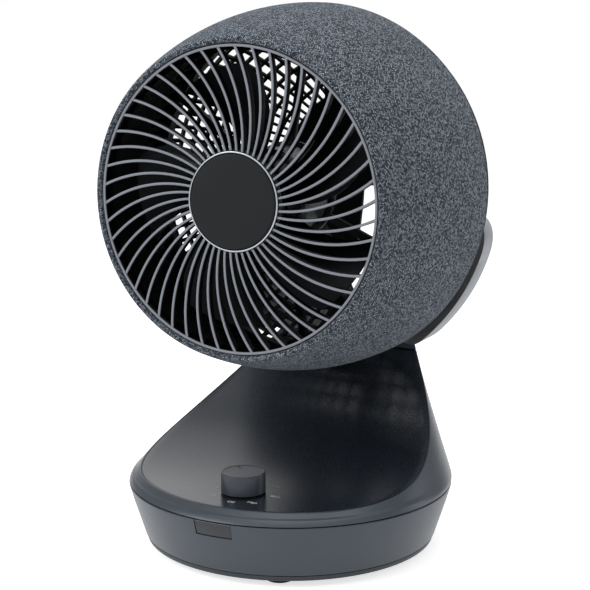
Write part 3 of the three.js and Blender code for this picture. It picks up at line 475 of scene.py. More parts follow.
def moulded(
    name, colour, rough, grain=None, relief=0.03, coat=0.0, shine=0.5, spread=0.08, under=None
):
    """Plastic from a textured steel mould: an even colour, a fine grain in the gloss and faint wear.

    The grain is in metres and its relief in millimetres. Where an under colour is given, painted
    shade turns the colour to it more than 0.35 mm behind the front, so the flanks read dark.
    """
    material, tree = begin(name)
    grain_size = grain or sizes().grain
    place = put(tree, "ShaderNodeTexCoord").outputs["Object"]
    fine = put(tree, "ShaderNodeTexNoise", {"Vector": place, "Scale": 1 / grain_size, "Detail": 2.0})
    broad = put(tree, "ShaderNodeTexNoise", {"Vector": place, "Scale": 1 / WEAR_PATCH, "Detail": 3.0})
    middle = {"From Min": 0.3, "From Max": 0.7}
    shade = put(
        tree,
        "ShaderNodeMapRange",
        {"Value": broad.outputs["Fac"], "To Min": 1 - spread, "To Max": 1 + spread, **middle},
    )
    base = tuple(colour)
    if under:
        # Painted shade: more than 0.35 mm behind the front, the colour turns to the under colour.
        flat = put(tree, "ShaderNodeUVMap", uv_map="flat").outputs[0]
        depth = put(tree, "ShaderNodeSeparateXYZ", {0: flat}).outputs[1]
        painted_flank_shade = put(tree, "ShaderNodeMapRange", {"Value": depth, "From Min": 0.35, "From Max": 0.8})
        layers = {0: painted_flank_shade.outputs[0], 6: base, 7: under}
        base = put(tree, "ShaderNodeMix", layers, data_type="RGBA").outputs[2]
    shaded = {0: 1.0, 6: base, 7: shade.outputs["Result"]}
    tint = put(tree, "ShaderNodeMix", shaded, data_type="RGBA", blend_type="MULTIPLY")
    gloss = put(
        tree,
        "ShaderNodeMapRange",
        {"Value": fine.outputs["Fac"], "To Min": rough - 0.05, "To Max": rough + 0.05, **middle},
    )
    bump = put(
        tree, "ShaderNodeBump", {"Height": fine.outputs["Fac"], "Strength": 0.35, "Distance": relief * MM}
    )
    surface = put(
        tree,
        "ShaderNodeBsdfPrincipled",
        {
            "Base Color": tint.outputs[2],
            "Roughness": gloss.outputs["Result"],
            "Normal": bump.outputs["Normal"],
            "IOR": 1.5,
            "Specular IOR Level": shine,
            "Specular Tint": linear("edf2fc"),
            "Coat Weight": coat,
            "Coat Roughness": 0.25,
        },
    )
    put(tree, "ShaderNodeOutputMaterial", {"Surface": surface.outputs[0]})
    return material


def rolled_metal(name, colour, rough):
    """Turned or plated metal: a fine grain in its shine and in its surface."""
    material, tree = begin(name)
    place = put(tree, "ShaderNodeTexCoord").outputs["Object"]
    fine = put(tree, "ShaderNodeTexNoise", {"Vector": place, "Scale": 1 / METAL_GRAIN, "Detail": 4.0})
    fac = fine.outputs["Fac"]
    gloss = put(
        tree, "ShaderNodeMapRange", {"Value": fac, "To Min": rough - 0.08, "To Max": rough + 0.12}
    )
    bump = put(tree, "ShaderNodeBump", {"Height": fac, "Strength": 0.2, "Distance": 0.02 * MM})
    surface = put(
        tree,
        "ShaderNodeBsdfPrincipled",
        {
            "Base Color": colour,
            "Metallic": 1.0,
            "Roughness": gloss.outputs["Result"],
            "Normal": bump.outputs["Normal"],
        },
    )
    put(tree, "ShaderNodeOutputMaterial", {"Surface": surface.outputs[0]})
    return material


def woven_polyester():
    """Plain-weave polyester from melange yarn: dark and light fibres in one thread give short flecks
    along both threads, and the hollows between crossings read dark.

    The pitch of 0.78 mm is coarser than the real cloth, because a finer one blurs in a small render.
    """
    material, tree = begin("woven_melange_polyester")
    chosen = colours()
    weave = put(tree, "ShaderNodeUVMap", uv_map="flat").outputs[0]

    # The threads wander a little, as stretched cloth does.
    wave = put(tree, "ShaderNodeTexNoise", {"Vector": weave, "Scale": 0.07, "Detail": 3.0})
    bend = {0: wave.outputs["Color"], 1: (5.0, 5.0, 0.0)}
    bend = put(tree, "ShaderNodeVectorMath", bend, operation="MULTIPLY").outputs[0]
    bent = put(tree, "ShaderNodeVectorMath", {0: weave, 1: bend}, operation="ADD").outputs[0]
    # One thread lies on top at every second crossing.
    one = put(tree, "ShaderNodeVectorMath", {0: bent}, operation="FLOOR").outputs[0]
    thread = put(tree, "ShaderNodeSeparateXYZ", {0: one})
    both = {0: thread.outputs[0], 1: thread.outputs[1]}
    both = put(tree, "ShaderNodeMath", both, operation="ADD").outputs[0]
    over = put(tree, "ShaderNodeMath", {0: both, 1: 2.0}, operation="FLOORED_MODULO").outputs[0]
    # A fleck runs over two crossings along its own thread.
    pair = {0: bent, 1: (0.5, 0.5, 0.0)}
    pair = put(tree, "ShaderNodeVectorMath", pair, operation="MULTIPLY").outputs[0]
    pair = put(tree, "ShaderNodeVectorMath", {0: pair}, operation="FLOOR").outputs[0]
    pair = put(tree, "ShaderNodeSeparateXYZ", {0: pair})
    warp = {0: thread.outputs[0], 1: pair.outputs[1]}
    warp = put(tree, "ShaderNodeCombineXYZ", warp).outputs[0]
    weft = {0: pair.outputs[0], 1: thread.outputs[1], 2: 9.0}
    weft = put(tree, "ShaderNodeCombineXYZ", weft).outputs[0]
    fleck = {0: over, 4: warp, 5: weft}
    fleck = put(tree, "ShaderNodeMix", fleck, data_type="VECTOR").outputs[1]
    chance = put(tree, "ShaderNodeTexWhiteNoise", {"Vector": fleck}, noise_dimensions="3D")
    pale = put(tree, "ShaderNodeMath", {0: over, 1: 0.36}, operation="MULTIPLY").outputs[0]
    mixed = {0: chance.outputs["Value"], 1: 0.6, 2: pale}
    mixed = put(tree, "ShaderNodeMath", mixed, operation="MULTIPLY_ADD").outputs[0]
    ramp = put(tree, "ShaderNodeValToRGB", {0: mixed})
    stops = ramp.color_ramp.elements
    stops[0].position, stops[0].color = 0.05, chosen.yarn_dark
    stops[1].position, stops[1].color = 0.95, chosen.yarn_light
    stops.new(0.5).color = chosen.yarn_middle
    # A thread is round: high along its middle and hollow at its sides.
    part = put(tree, "ShaderNodeVectorMath", {0: bent}, operation="FRACTION").outputs[0]
    spot = put(tree, "ShaderNodeSeparateXYZ", {0: part})
    side = {0: over, 2: spot.outputs[0], 3: spot.outputs[1]}
    side = put(tree, "ShaderNodeMix", side, data_type="FLOAT").outputs[0]
    centred = put(tree, "ShaderNodeMath", {0: side, 1: 0.5}, operation="SUBTRACT").outputs[0]
    square = {0: centred, 1: centred}
    square = put(tree, "ShaderNodeMath", square, operation="MULTIPLY").outputs[0]
    height = {0: square, 1: -4.0, 2: 1.0}
    height = put(tree, "ShaderNodeMath", height, operation="MULTIPLY_ADD").outputs[0]
    # Painted shade darkens the hollows at each thread's sides, and a little painted highlight lightens its
    # crown.
    hollow = {"Value": height, "From Min": 0.0, "From Max": 0.8, "To Min": 0.5, "To Max": 1.15}
    hollow = put(tree, "ShaderNodeMapRange", hollow).outputs["Result"]
    # The last thread turns under at the rear edge; painted shade darkens the colour over it there.
    along = put(tree, "ShaderNodeSeparateXYZ", {0: weave}).outputs[1]
    last = belt_threads()
    painted_fold_shade = {"Value": along, "From Min": last - 1.1, "From Max": last - 0.5, "To Min": 1.0, "To Max": 0.3}
    painted_fold_shade = put(tree, "ShaderNodeMapRange", painted_fold_shade).outputs["Result"]
    shade = put(tree, "ShaderNodeMath", {0: hollow, 1: painted_fold_shade}, operation="MULTIPLY").outputs[0]
    shaded = {0: 1.0, 6: ramp.outputs[0], 7: shade}
    tint = put(tree, "ShaderNodeMix", shaded, data_type="RGBA", blend_type="MULTIPLY")
    relief = {"Height": height, "Strength": 0.6, "Distance": sizes().thread_relief}
    bump = put(tree, "ShaderNodeBump", relief)
    surface = put(
        tree,
        "ShaderNodeBsdfPrincipled",
        {
            "Base Color": tint.outputs[2],
            "Roughness": 0.9,
            "Normal": bump.outputs["Normal"],
            "Specular IOR Level": 0.2,
            "Sheen Weight": 0.15,
            "Sheen Roughness": 0.5,
            "Sheen Tint": linear("b8c0ca"),
        },
    )
    put(tree, "ShaderNodeOutputMaterial", {"Surface": surface.outputs[0]})
    return material


# ---- head ----


def curve_point(a, b, c, t):
    """A point on the bend from a to c that b pulls towards itself."""
    return tuple(a[i] * (1 - t) ** 2 + b[i] * 2 * t * (1 - t) + c[i] * t * t for i in range(2))


def belt_outline():
    """The visible line of the fabric, from inside the lip to the rear edge."""
    crown, shoulder, rear = FACE_Y - 1.4, FACE_Y + 2, BELT_END - 0.7
    line = [(LIP, FACE_Y + 5.5), (LIP, FACE_Y + 3)]
    for k in range(7):
        line.append(curve_point((LIP, FACE_Y + 1), (LIP, crown), (LIP + 2, crown), k / 6))
    end = (belt_radius(shoulder), shoulder)
    for k in range(1, 9):
        line.append(curve_point((LIP + 2, crown), (end[0] - 1.25, crown), end, k / 8))
    for k in range(1, 41):
        y = shoulder + (rear - FACE_Y - 2) * k / 40
        line.append((belt_radius(y), y))
    edge = belt_radius(BELT_END)
    for k in range(1, 5):
        line.append(
            curve_point((belt_radius(rear), rear), (edge, BELT_END), (edge - 0.9, BELT_END), k / 4)
        )
    return line


def line_lengths(line):
    """Distance along a line to each of its points."""
    total = [0.0]
    for a, b in zip(line, line[1:]):
        total.append(total[-1] + math.dist(a, b))
    return total


def belt_threads():
    """Threads along the belt from the lip to the rear edge."""
    return line_lengths(belt_outline())[-1] * MM / sizes().thread


class FAN_OT_fabric(bpy.types.Operator):
    """Fabric cover stretched round the head"""

    bl_idname = "fan.fabric"
    bl_label = "Fabric cover"

    def execute(self, context):
        pitch = sizes().thread / MM
        steps = 288
        line = belt_outline()
        lengths = line_lengths(line)
        inner = []
        for i, (r, y) in enumerate(line):
            before, after = line[max(0, i - 1)], line[min(len(line) - 1, i + 1)]
            du, dv = after[0] - before[0], after[1] - before[1]
            size = math.hypot(du, dv)
            inner.append((r - dv / size * BELT_THICK, y + du / size * BELT_THICK))
        outline = line + inner[::-1]
        far = [length / pitch for length in lengths]
        around = round(TAU * BELT_MEAN_RADIUS / pitch)
        points, spots = [], []
        for i, (r, y) in enumerate(outline):
            v = far[i] if i < len(line) else far[2 * len(line) - 1 - i]
            for k in range(steps + 1):
                points.append(round_head(r, y, k / steps * TAU - TAU / 4))
                spots.append((k / steps * around, v))
        faces = grid_faces(len(outline), steps + 1, True, False)
        cover = make_mesh("fabric_sleeve", points, faces, 60, spots)
        dress(cover, "head", "fabric", woven_polyester(), "fabric_cover")
        return {"FINISHED"}


class FAN_OT_grille(bpy.types.Operator):
    """Front grille with curved bars, its bright ring and its cap"""

    bl_idname = "fan.grille"
    bl_label = "Front grille"

    def bar(self, i, count):
        """Rows of one bar's section from hub to ring. Each point comes with its place on the map."""
        rows = []
        stages = 16
        for s in range(stages + 1):
            part = s / stages
            radius = HUB_RADIUS + GAP + (RING_OUTER - 0.9 - HUB_RADIUS - GAP) * part
            turn = math.radians(i * 360 / count + BAR_SWEEP * part**1.12)
            half = (1.5 + 0.4 * part) / 2
            front = FACE_Y + 0.5 - 2 * (1 - part * part)
            back = front + 5
            section = rounded(
                [(-half, front, 0.5), (half, front, 0.5), (half, back, 0.3), (-half, back, 0.3)], 3
            )
            row = []
            for side, y in section:
                x = radius * math.cos(turn) - side * math.sin(turn)
                z = radius * math.sin(turn) + side * math.cos(turn)
                row.append((on_head(x, y, z), (radius, y - front)))
            rows.append(row)
        return rows

    def execute(self, context):
        count = sizes().bars
        points, faces = capped_together(self.bar(i, count) for i in range(count))
        places, spots = zip(*points)
        bars = make_mesh("grille_bars", places, faces, 50, spots)
        # Grey ABS with painted shade: more than 0.35 mm behind the front the colour turns to the duct's
        # black, so each bar shows a light front edge between dark flanks, and the rim and hub darken towards
        # their backs.
        black = tuple(colours().inside)
        paint = moulded("grey_abs_painted_flank_shade", colours().bars, 0.45, 0.0009, 0.02, 0.0, 0.3, 0.05, black)
        dress(bars, "head", "grille_plastic", paint, "front_grille")
        inner, back = RING_OUTER - RING_WIDTH, FACE_Y + RING_DEPTH
        ring = rounded(
            [(inner, FACE_Y, 0.5), (RING_OUTER, FACE_Y, 0.6), (RING_OUTER, back, 0.3), (inner, back, 0.3)]
        )
        rim = turned("grille_rim", ring, round_head, 256, 35, FACE_Y)
        dress(rim, "head", "grille_plastic", paint)
        seat = NOSE_Y + 2.75
        lip = HUB_RADIUS + 1.5
        hub = rounded([(0, seat, 0), (lip, seat, 0.5), (lip, NOSE_Y + 6, 0.5), (0, NOSE_Y + 6, 0)])
        dress(turned("grille_hub", hub, round_head, front=FACE_Y), "head", "grille_plastic", paint)
        inner, back = HUB_RADIUS - TRIM_WIDTH, NOSE_Y + 2.4
        trim = rounded(
            [
                (inner, NOSE_Y + 0.3, 0.1),
                (inner + 0.4, NOSE_Y - 0.45, 0.2),
                (HUB_RADIUS, NOSE_Y - 0.35, 0.5),
                (HUB_RADIUS, back, 0.1),
                (inner, back, 0.1),
            ]
        )
        # Satin-chromed trim: a thin bright line that picks up the room.
        bright = rolled_metal("satin_chromed_trim", tuple(colours().ring), 0.32)
        dress(turned("cap_trim", trim, round_head, 192), "head", "bright_ring", bright, "cap_ring")
        edge = inner - GAP
        face = [(0, NOSE_Y - 1), (edge * 0.5, NOSE_Y - 0.96), (edge - 1.6, NOSE_Y - 0.85)]
        face += [(edge - 0.7, NOSE_Y - 0.72), (edge - 0.25, NOSE_Y - 0.5), (edge, NOSE_Y - 0.1)]
        face += [(edge, back), (0, back)]
        # Fine-textured ABS: a flat, nearly matt disc with a soft bevel.
        matt = moulded("fine_textured_abs_cap", colours().cap, 0.6, 0.0008, 0.02, 0.0, 0.12)
        dress(turned("centre_cap", face, round_head), "head", "cap_plastic", matt, "grille_cap")
        return {"FINISHED"}


class FAN_OT_duct(bpy.types.Operator):
    """Duct and shell with their openings"""

    bl_idname = "fan.duct"
    bl_label = "Duct and shell"

    def tube(self, name, line, depth, offset):
        """An open tube with a row of openings between two of its rings."""
        count = sizes().vents
        steps = count * 4
        first = next(i for i, (_, y) in enumerate(line) if y >= VENT_FRONT)
        last = next(i for i, (_, y) in enumerate(line) if y >= VENT_BACK)
        points = [round_head(r, y, (k + 1) / steps * TAU) for r, y in line for k in range(steps)]

        def opening(i, k):
            return first <= i < last and k % 4 in (1, 2)

        faces = grid_faces(len(line), steps, False, True, opening)
        return thicken(make_mesh(name, points, faces, 50), depth, offset)

    def execute(self, context):
        # Black polypropylene: plain, dull and almost without colour.
        black = moulded("black_polypropylene", colours().inside, 0.85, 0.0012, 0.03, 0.0, 0.05)
        lip = RING_OUTER + 1.4
        line = [(lip, FACE_Y + 8.5), (lip, DUCT_FRONT), (duct_radius(DUCT_FRONT), DUCT_FRONT)]
        stages = [DUCT_FRONT + (VENT_FRONT - DUCT_FRONT) * k / 8 for k in range(1, 8)]
        stages += [VENT_FRONT, -10, 0, VENT_BACK, 14, 17, 20]
        line += [(duct_radius(y), y) for y in stages]
        duct = self.tube("duct_wall", line, 1.9, 1)
        dress(duct, "head", "duct_plastic", black, "duct")
        places = [FACE_Y + 10, -60, -40, VENT_FRONT, -5, VENT_BACK, 20, 29]
        line = [(belt_radius(y) - 1.8, y) for y in places]
        shell = self.tube("liner_shell", line, 2, -1)
        dress(shell, "head", "inner_plastic", black, "head_shell")
        return {"FINISHED"}


class FAN_OT_rotor(bpy.types.Operator):
    """Fan rotor with swept blades"""

    bl_idname = "fan.rotor"
    bl_label = "Rotor"

    def blade(self, i):
        """Rows of a blade's section from hub to tip."""
        rows = []
        stages, across = 18, 14
        for s in range(stages + 1):
            part = s / stages
            radius = BLADE_ROOT + (BLADE_TIP - BLADE_ROOT) * part
            span = math.radians(46 - 8 * part)
            rise = 10.5 - 3 * part
            sweep = 0.35 * part * part
            upper, lower = [], []
            for k in range(across + 1):
                way = k / across * 2 - 1
                turn = ROTOR_TURN + i * TAU / BLADE_COUNT + span * way / 2 * BLADE_STRETCH + sweep
                y = BLADE_Y + rise * way - 2.5 * (1 - way * way)
                half = 0.35 + 0.9 * (1 - way * way)
                upper.append(round_head(radius, y - half, turn))
                lower.append(round_head(radius, y + half, turn))
            rows.append(upper + lower[::-1])
        return rows

    def execute(self, context):
        points, faces = capped_together(self.blade(i) for i in range(BLADE_COUNT))
        # Polypropylene from a polished mould: deep black with soft highlights along the edges.
        glossy = moulded("polished_black_polypropylene", colours().rotor, 0.35, 0.002, 0.01, 0.0, 0.1)
        blades = make_mesh("rotor_blades", points, faces, 50)
        dress(blades, "rotor", "rotor_plastic", glossy, "fan_rotor")
        bore, inside, outside = 4.4, 23.8, 26
        front, plate, back = -68, -62, -46
        hub = rounded(
            [
                (bore, front, 0.4),
                (outside, front, 3.5),
                (outside, back, 0.5),
                (inside, back, 0.4),
                (inside, plate, 1),
                (bore, plate, 0.3),
            ]
        )
        dress(turned("rotor_hub", hub, round_head, 128), "rotor", "rotor_plastic", glossy)
        return {"FINISHED"}


class FAN_OT_guard(bpy.types.Operator):
    """Domed rear guard with rows of slots"""

    bl_idname = "fan.guard"
    bl_label = "Rear guard"

    def dome(self):
        """The dome with its rows of slots, which stop short of the tilt arm's way."""
        steps = sizes().slots * 4
        rows = [(pole, False) for pole in (0, 6, 12, 18, 24, 29.5)]
        for k in range(9):
            low = 30.5 + 5 * k
            rows += [(low, True), (low + 2, True), (low + 4, False)]
        rows.append((math.degrees(math.acos((BELT_END + GAP) / DOME)), False))
        points = []
        for pole, _ in rows:
            radius, y = DOME * math.sin(math.radians(pole)), DOME * math.cos(math.radians(pole))
            points += [round_head(radius, y, (k - 2) / steps * TAU) for k in range(steps)]

        def opening(i, k):
            pole, slotted = rows[i]
            if not slotted or k % 4 == 0:
                return False
            radius = DOME * math.sin(math.radians(pole))
            turn = (k - 1.5) / steps * TAU
            return abs(radius * math.cos(turn)) > ARM_SLOT + ARM_RIM or math.sin(turn) > 0 or pole > 62

        faces = grid_faces(len(rows), steps, False, True, opening)
        return apply_modifiers(thicken(make_mesh("guard_dome", points, faces, 50), 2.5, -1))

    def arm_way(self):
        """The room that the tilt arm sweeps as the head tilts."""
        sweep = [(0.0, 0.0)]
        for k in range(25):
            turn = math.radians(-59.5 + 54 * k / 24)
            sweep.append((160 * math.cos(turn), 160 * math.sin(turn)))
        rows = [[by_pivot(x, y, z) for y, z in sweep] for x in (-ARM_SLOT, ARM_SLOT)]
        return make_mesh("way", *capped(rows))

    def execute(self, context):
        dome = crisp(cut_away(self.dome(), self.arm_way()), 35)
        # Textured ABS: dark grey with an even, dull sheen.
        textured = moulded("textured_abs_guard", colours().guard, 0.65, None, 0.03, 0.0, 0.2)
        dress(dome, "head", "guard_plastic", textured, "rear_guard")
        return {"FINISHED"}


# ---- pedestal ----


def wall_point(turn, h, inset):
    """A point of the pedestal's outline at a height, moved inwards."""
    wide = side_width(h) - inset
    deep = (rear_depth(h) if math.sin(turn) > 0 else side_width(h)) - inset
    return wide * math.cos(turn), lean_at(h) + deep * math.sin(turn)


def wall_top(turn, inset):
    """Height where the wall meets the panel's face or the neck."""
    low, high = 0.0, 1.0
    while panel_height(wall_point(turn, high, inset)[1]) >= high:
        if high >= NECK_SEAM:
            return NECK_SEAM
        low, high = high, high + 1
    for _ in range(30):
        middle = (low + high) / 2
        if panel_height(wall_point(turn, middle, inset)[1]) >= middle:
            low = middle
        else:
            high = middle
    return min(low, NECK_SEAM)


def panel_half(y, inset):
    """Half width of the panel at a distance back."""
    h = panel_height(y)
    deep = (rear_depth(h) if y > lean_at(h) else side_width(h)) - inset
    share = (y - lean_at(h)) / deep
    return (side_width(h) - inset) * math.sqrt(max(0, 1 - share * share))


def panel_front(inset):
    """Where the panel's front edge crosses the middle line."""
    return wall_point(-TAU / 4, PANEL_LOW, inset)[1]


class FAN_OT_pedestal(bpy.types.Operator):
    """Pedestal wall and curved control panel"""

    bl_idname = "fan.pedestal"
    bl_label = "Pedestal"

    def wall(self):
        """The wall, from its rounded foot up to the panel's edge and back down inside.

        Each row is (share of the way up, distance inwards, height above that share).
        """
        steps, stages = 288, 26
        rows = []
        foot = SEAM / 2
        for k in range(9):
            up = k / 8
            rows.append((0.0, 1.05 * (1 - up) ** 2 - FOOT_SWELL, FOOT_BEVEL * up))
        for k in range(1, stages + 1):
            up = k / stages
            rows.append((up, -FOOT_SWELL * max(0, 1 - 4 * up), FOOT_BEVEL * (1 - up)))
        for inset, drop in ((0.1, 0.33), (0.35, 0.45), (0.7, 0.45), (0.75, -1.85), (WALL, -1.95)):
            rows.append((1, inset, drop))
        rows += [(0.5, WALL, 0), (0, WALL, 0), (0, 0.9, 0)]
        points = []
        for share, inset, drop in rows:
            for k in range(steps):
                turn = k / steps * TAU
                top = wall_top(turn, inset if share == 1 else 0) - WALL_BELOW
                h = foot + (top - foot) * share + drop
                x, y = wall_point(turn, h, inset)
                points.append(on_base(x, y, WAIST_Z + h))
        return make_mesh("pedestal_wall", points, grid_faces(len(rows), steps, True, True), 32)

    def panel(self):
        """The face, with an edge that turns down behind the wall. Each edge row is (inset, drop)."""
        stages, across = 90, 36
        insets = ((1.05, -1.6), (1.05, -0.35), (1.13, -0.1), (PANEL_INSET, 0))
        points = []
        end = PANEL_END - 0.6
        for i in range(stages + 1):
            t = (i / stages) ** 2
            row = []
            for side in (-1, 1):
                edge = []
                for inset, drop in insets:
                    y = panel_front(inset) + (end - panel_front(inset)) * t
                    edge.append((side * panel_half(y, inset), y, WAIST_Z + panel_height(y) + drop))
                row.append(edge)
            left, right = row[0], row[1][::-1]
            inner = panel_front(PANEL_INSET) + (end - panel_front(PANEL_INSET)) * t
            half = panel_half(inner, PANEL_INSET)
            high = WAIST_Z + panel_height(inner)
            middle = [(half * (2 * k / across - 1), inner, high) for k in range(1, across)]
            points += [on_base(*point) for point in left + middle + right]
        columns = 2 * len(insets) + across - 1
        return make_mesh("panel_face", points, grid_faces(stages + 1, columns, False, False), 40)

    def execute(self, context):
        # ABS from a finely eroded mould: dark blue grey with a silky sheen that grows towards the outline.
        silky = moulded("silky_abs_blue_grey", colours().bowl, 0.36, None, 0.025, 0.1)
        dress(self.wall(), "pedestal", "bowl_plastic", silky, "pedestal_shell")
        # The panel comes from a smoother mould: almost black, with long soft reflections.
        smooth = moulded("satin_black_abs", colours().panel, 0.26, 0.0005, 0.002, 0.3, 0.6)
        dress(self.panel(), "pedestal", "panel_plastic", smooth, "control_panel")
        return {"FINISHED"}


class FAN_OT_dial(bpy.types.Operator):
    """Speed knob and the lettering round it"""

    bl_idname = "fan.dial"
    bl_label = "Dial"

    def printed(self, name, outline_points, faces):
        """Ink laid on the panel's face, from flat points about the knob's axis."""
        points = []
        for x, y in outline_points:
            points.append(on_base(x, KNOB_Y + y, WAIST_Z + panel_height(KNOB_Y + y) + INK_RISE))
        return make_mesh(name, points, faces)

    def word(self, text, x, y):
        """A word on the panel, centred on a point beside the knob."""
        letters = bpy.data.curves.new("letters", "FONT")
        letters.body = text
        letters.size = sizes().letters / MM
        letters.offset = 0.05
        letters.align_x, letters.align_y = "CENTER", "CENTER"
        holder = bpy.data.objects.new("letters", letters)
        bpy.context.scene.collection.objects.link(holder)
        bpy.context.view_layer.update()
        flat = bpy.data.meshes.new_from_object(holder)
        spots = [(x + v.co.x, y + v.co.y) for v in flat.vertices]
        faces = [tuple(face.vertices) for face in flat.polygons]
        bpy.data.objects.remove(holder)
        return self.printed("word_" + text, spots, faces)

    def tick(self, name, turn):
        """A short line that points at the knob."""
        near, far = KNOB_RADIUS + 3.5, KNOB_RADIUS + 6.3
        return self.printed(name, line_corners(near, far, 0.3, turn), [(0, 1, 2, 3)])

    def execute(self, context):
        low = WAIST_Z + panel_height(KNOB_Y + KNOB_RADIUS) + 0.36
        high = low + KNOB_HEIGHT
        skirt, bore = KNOB_RADIUS, KNOB_RADIUS - 3.7
        profile = rounded(
            [
                (0, high - 0.25, 0),
                (skirt - 1.7, high - 0.25, 0.3),
                (skirt - 1.45, high, 0.12),
                (skirt - 0.25, high, 0.7),
                (skirt, low + 1, 0.3),
                (skirt, low, 0.2),
                (bore, low, 0.1),
                (bore, low + 4, 0.1),
                (0, low + 4, 0),
            ]
        )
        knob = turned("dial_knob", profile, round_knob, 144)
        # ABS with a spun finish: dark, with a fine grain in its sheen.
        spun = moulded("spun_finish_abs_knob", colours().knob, 0.34, 0.0009, 0.02)
        dress(knob, "knob", "knob_plastic", spun, "speed_knob")
        # Pad-printed ink: thin, pale and matt, a little above the plastic.
        ink = moulded("pad_printed_ink", colours().ink, 0.6, 0.0008, 0.005)
        line = line_corners(6.6, 12.2, 0.45, math.radians(134))
        corners = [on_base(x, KNOB_Y + y, high - 0.17) for x, y in line]
        pointer = make_mesh("dial_pointer", corners, [(0, 1, 2, 3)])
        # Engraved pointer line, drawn as a flat mark on the knob's top: its dark colour is painted shadow for
        # the shade the groove holds.
        painted_shadow_mark = moulded("painted_shadow_line", linear("0c0d0f"), 0.7, 0.0008, 0.005)
        dress(pointer, "knob", "knob_plastic", painted_shadow_mark)
        words = (("Off", 2.2, -20.4), ("High", 14.8, -15.6), ("Med", 22.2, 0.6), ("Low", 15.0, 16.2))
        printed = [self.word(*word) for word in words]
        for i, degrees in enumerate((-135, -180, -225)):
            printed.append(self.tick("dial_tick_%d" % i, math.radians(degrees)))
        for mark in printed:
            dress(mark, "pedestal", "panel_plastic", ink)
        return {"FINISHED"}


# ---- base ----


class FAN_OT_base(bpy.types.Operator):
    """Base bowl, receiver window, plate and feet"""

    bl_idname = "fan.base"
    bl_label = "Base"

    def bowl(self):
        """The bowl, with a notch in its rim for the window."""
        low, high = RIM_Z + GAP, WAIST_Z - SEAM / 2
        under = high - 4.6
        outline = rounded(
            [
                (base_radius(low) - 0.3, low, 0.9),
                (base_radius(high - WINDOW_HEIGHT), high - WINDOW_HEIGHT, 0),
                (base_radius(high - 0.5) - 0.15, high, 0.8),
                (WAIST_RADIUS - WALL, high - 0.1, 0.4),
                (WAIST_RADIUS - WALL, high - 2.1, 0),
                (DECK_HOLE, high - 2.1, 0.4),
                (DECK_HOLE, under, 0.4),
                (base_radius(under) - WALL, under, 0),
                (base_radius(low) - WALL - 0.3, low, 0),
            ],
            6,
        )
        notch_low, half = high - WINDOW_HEIGHT, math.asin(WINDOW_HALF / WINDOW_RADIUS)
        front = -TAU / 4
        turns = [(front + half * share, True) for share in (-1, -0.5, 0, 0.5, 1)]
        steps = 280
        for k in range(steps + 1):
            turns.append((front + half + (TAU - 2 * half) * k / steps, False))
        points = []
        for r, z in outline:
            outside = r > base_radius(z) - WALL * 0.6
            for turn, cut in turns:
                if cut and z > notch_low:
                    radius = base_radius(notch_low) - (0 if outside else WALL)
                    points.append(round_base(radius, notch_low, turn))
                else:
                    points.append(round_base(r, z, turn))
        return make_mesh("bowl_wall", points, grid_faces(len(outline), len(turns), True, True), 40)

    def window(self):
        """A shallow curved pane in the notch."""
        high = WAIST_Z - SEAM / 2 - 0.15
        low = high - WINDOW_HEIGHT + 0.4
        outline = rounded(
            [
                (base_radius(low) - 0.55, low, 0.3),
                (base_radius(high) - 0.75, high, 0.5),
                (base_radius(high) - WALL, high, 0.1),
                (base_radius(low) - WALL, low, 0.1),
            ],
            3,
        )
        half = math.asin((WINDOW_HALF - GAP) / WINDOW_RADIUS)
        steps = 24
        points = []
        for r, z in outline:
            for k in range(steps + 1):
                points.append(round_base(r, z, -TAU / 4 - half + 2 * half * k / steps))
        size = steps + 1
        faces = grid_faces(len(outline), size, True, False)
        faces.append(tuple(i * size for i in range(len(outline))))
        faces.append(tuple(i * size + steps for i in reversed(range(len(outline)))))
        return make_mesh("window_pane", points, faces, 40)

    def execute(self, context):
        # ABS from the pedestal's fine mould: the same dark blue grey, a little duller.
        silky = moulded("silky_abs_base", colours().bowl, 0.38, None, 0.025, 0.08)
        dress(self.bowl(), "base", "bowl_plastic", silky, "base_bowl")
        # Infrared-clear acrylic: looks solid and dark, flatter and glossier than the bowl.
        acrylic = moulded("infrared_acrylic", linear("2a2d31"), 0.18, 0.002, 0.005)
        dress(self.window(), "base", "window_plastic", acrylic, "ir_window")
        edge, top = base_radius(RIM_Z), FOOT_HEIGHT + PLATE_THICK
        plate = rounded(
            [
                (0, FOOT_HEIGHT, 0),
                (BASE_RADIUS - 0.6, FOOT_HEIGHT, 1.6),
                (edge - 0.5, RIM_Z, 0.3),
                (edge - RIM_WIDTH, RIM_Z, 0.2),
                (edge - RIM_WIDTH, top, 0.2),
                (0, top, 0),
            ]
        )
        # Grey ABS from a coarser mould: a little darker and duller than the bowl above it.
        matt = moulded("matt_grey_abs", linear("34383d"), 0.5)
        dress(turned("plate_disc", plate, round_base), "base", "base_plastic", matt, "base_plate")
        # Soft rubber: dark and dull.
        rubber = moulded("moulded_rubber", linear("141517"), 0.75, 0.0014, 0.05)
        high = FOOT_HEIGHT + 0.85
        pad = rounded([(0, 0, 0), (FOOT_RADIUS, 0, 1.2), (FOOT_RADIUS, high, 0.3), (0, high, 0)])
        for i in range(FOOT_COUNT):
            turn = math.radians(FOOT_START + 360 / FOOT_COUNT * i)
            x, y = FOOT_CIRCLE * math.cos(turn), FOOT_CIRCLE * math.sin(turn)

            def place(radius, height, around, x=x, y=y):
                return on_base(x + radius * math.cos(around), y + radius * math.sin(around), height)

            number = str(i + 1)
            dress(turned("pad_" + number, pad, place, 48), "base", "rubber", rubber, "foot_" + number)
        return {"FINISHED"}


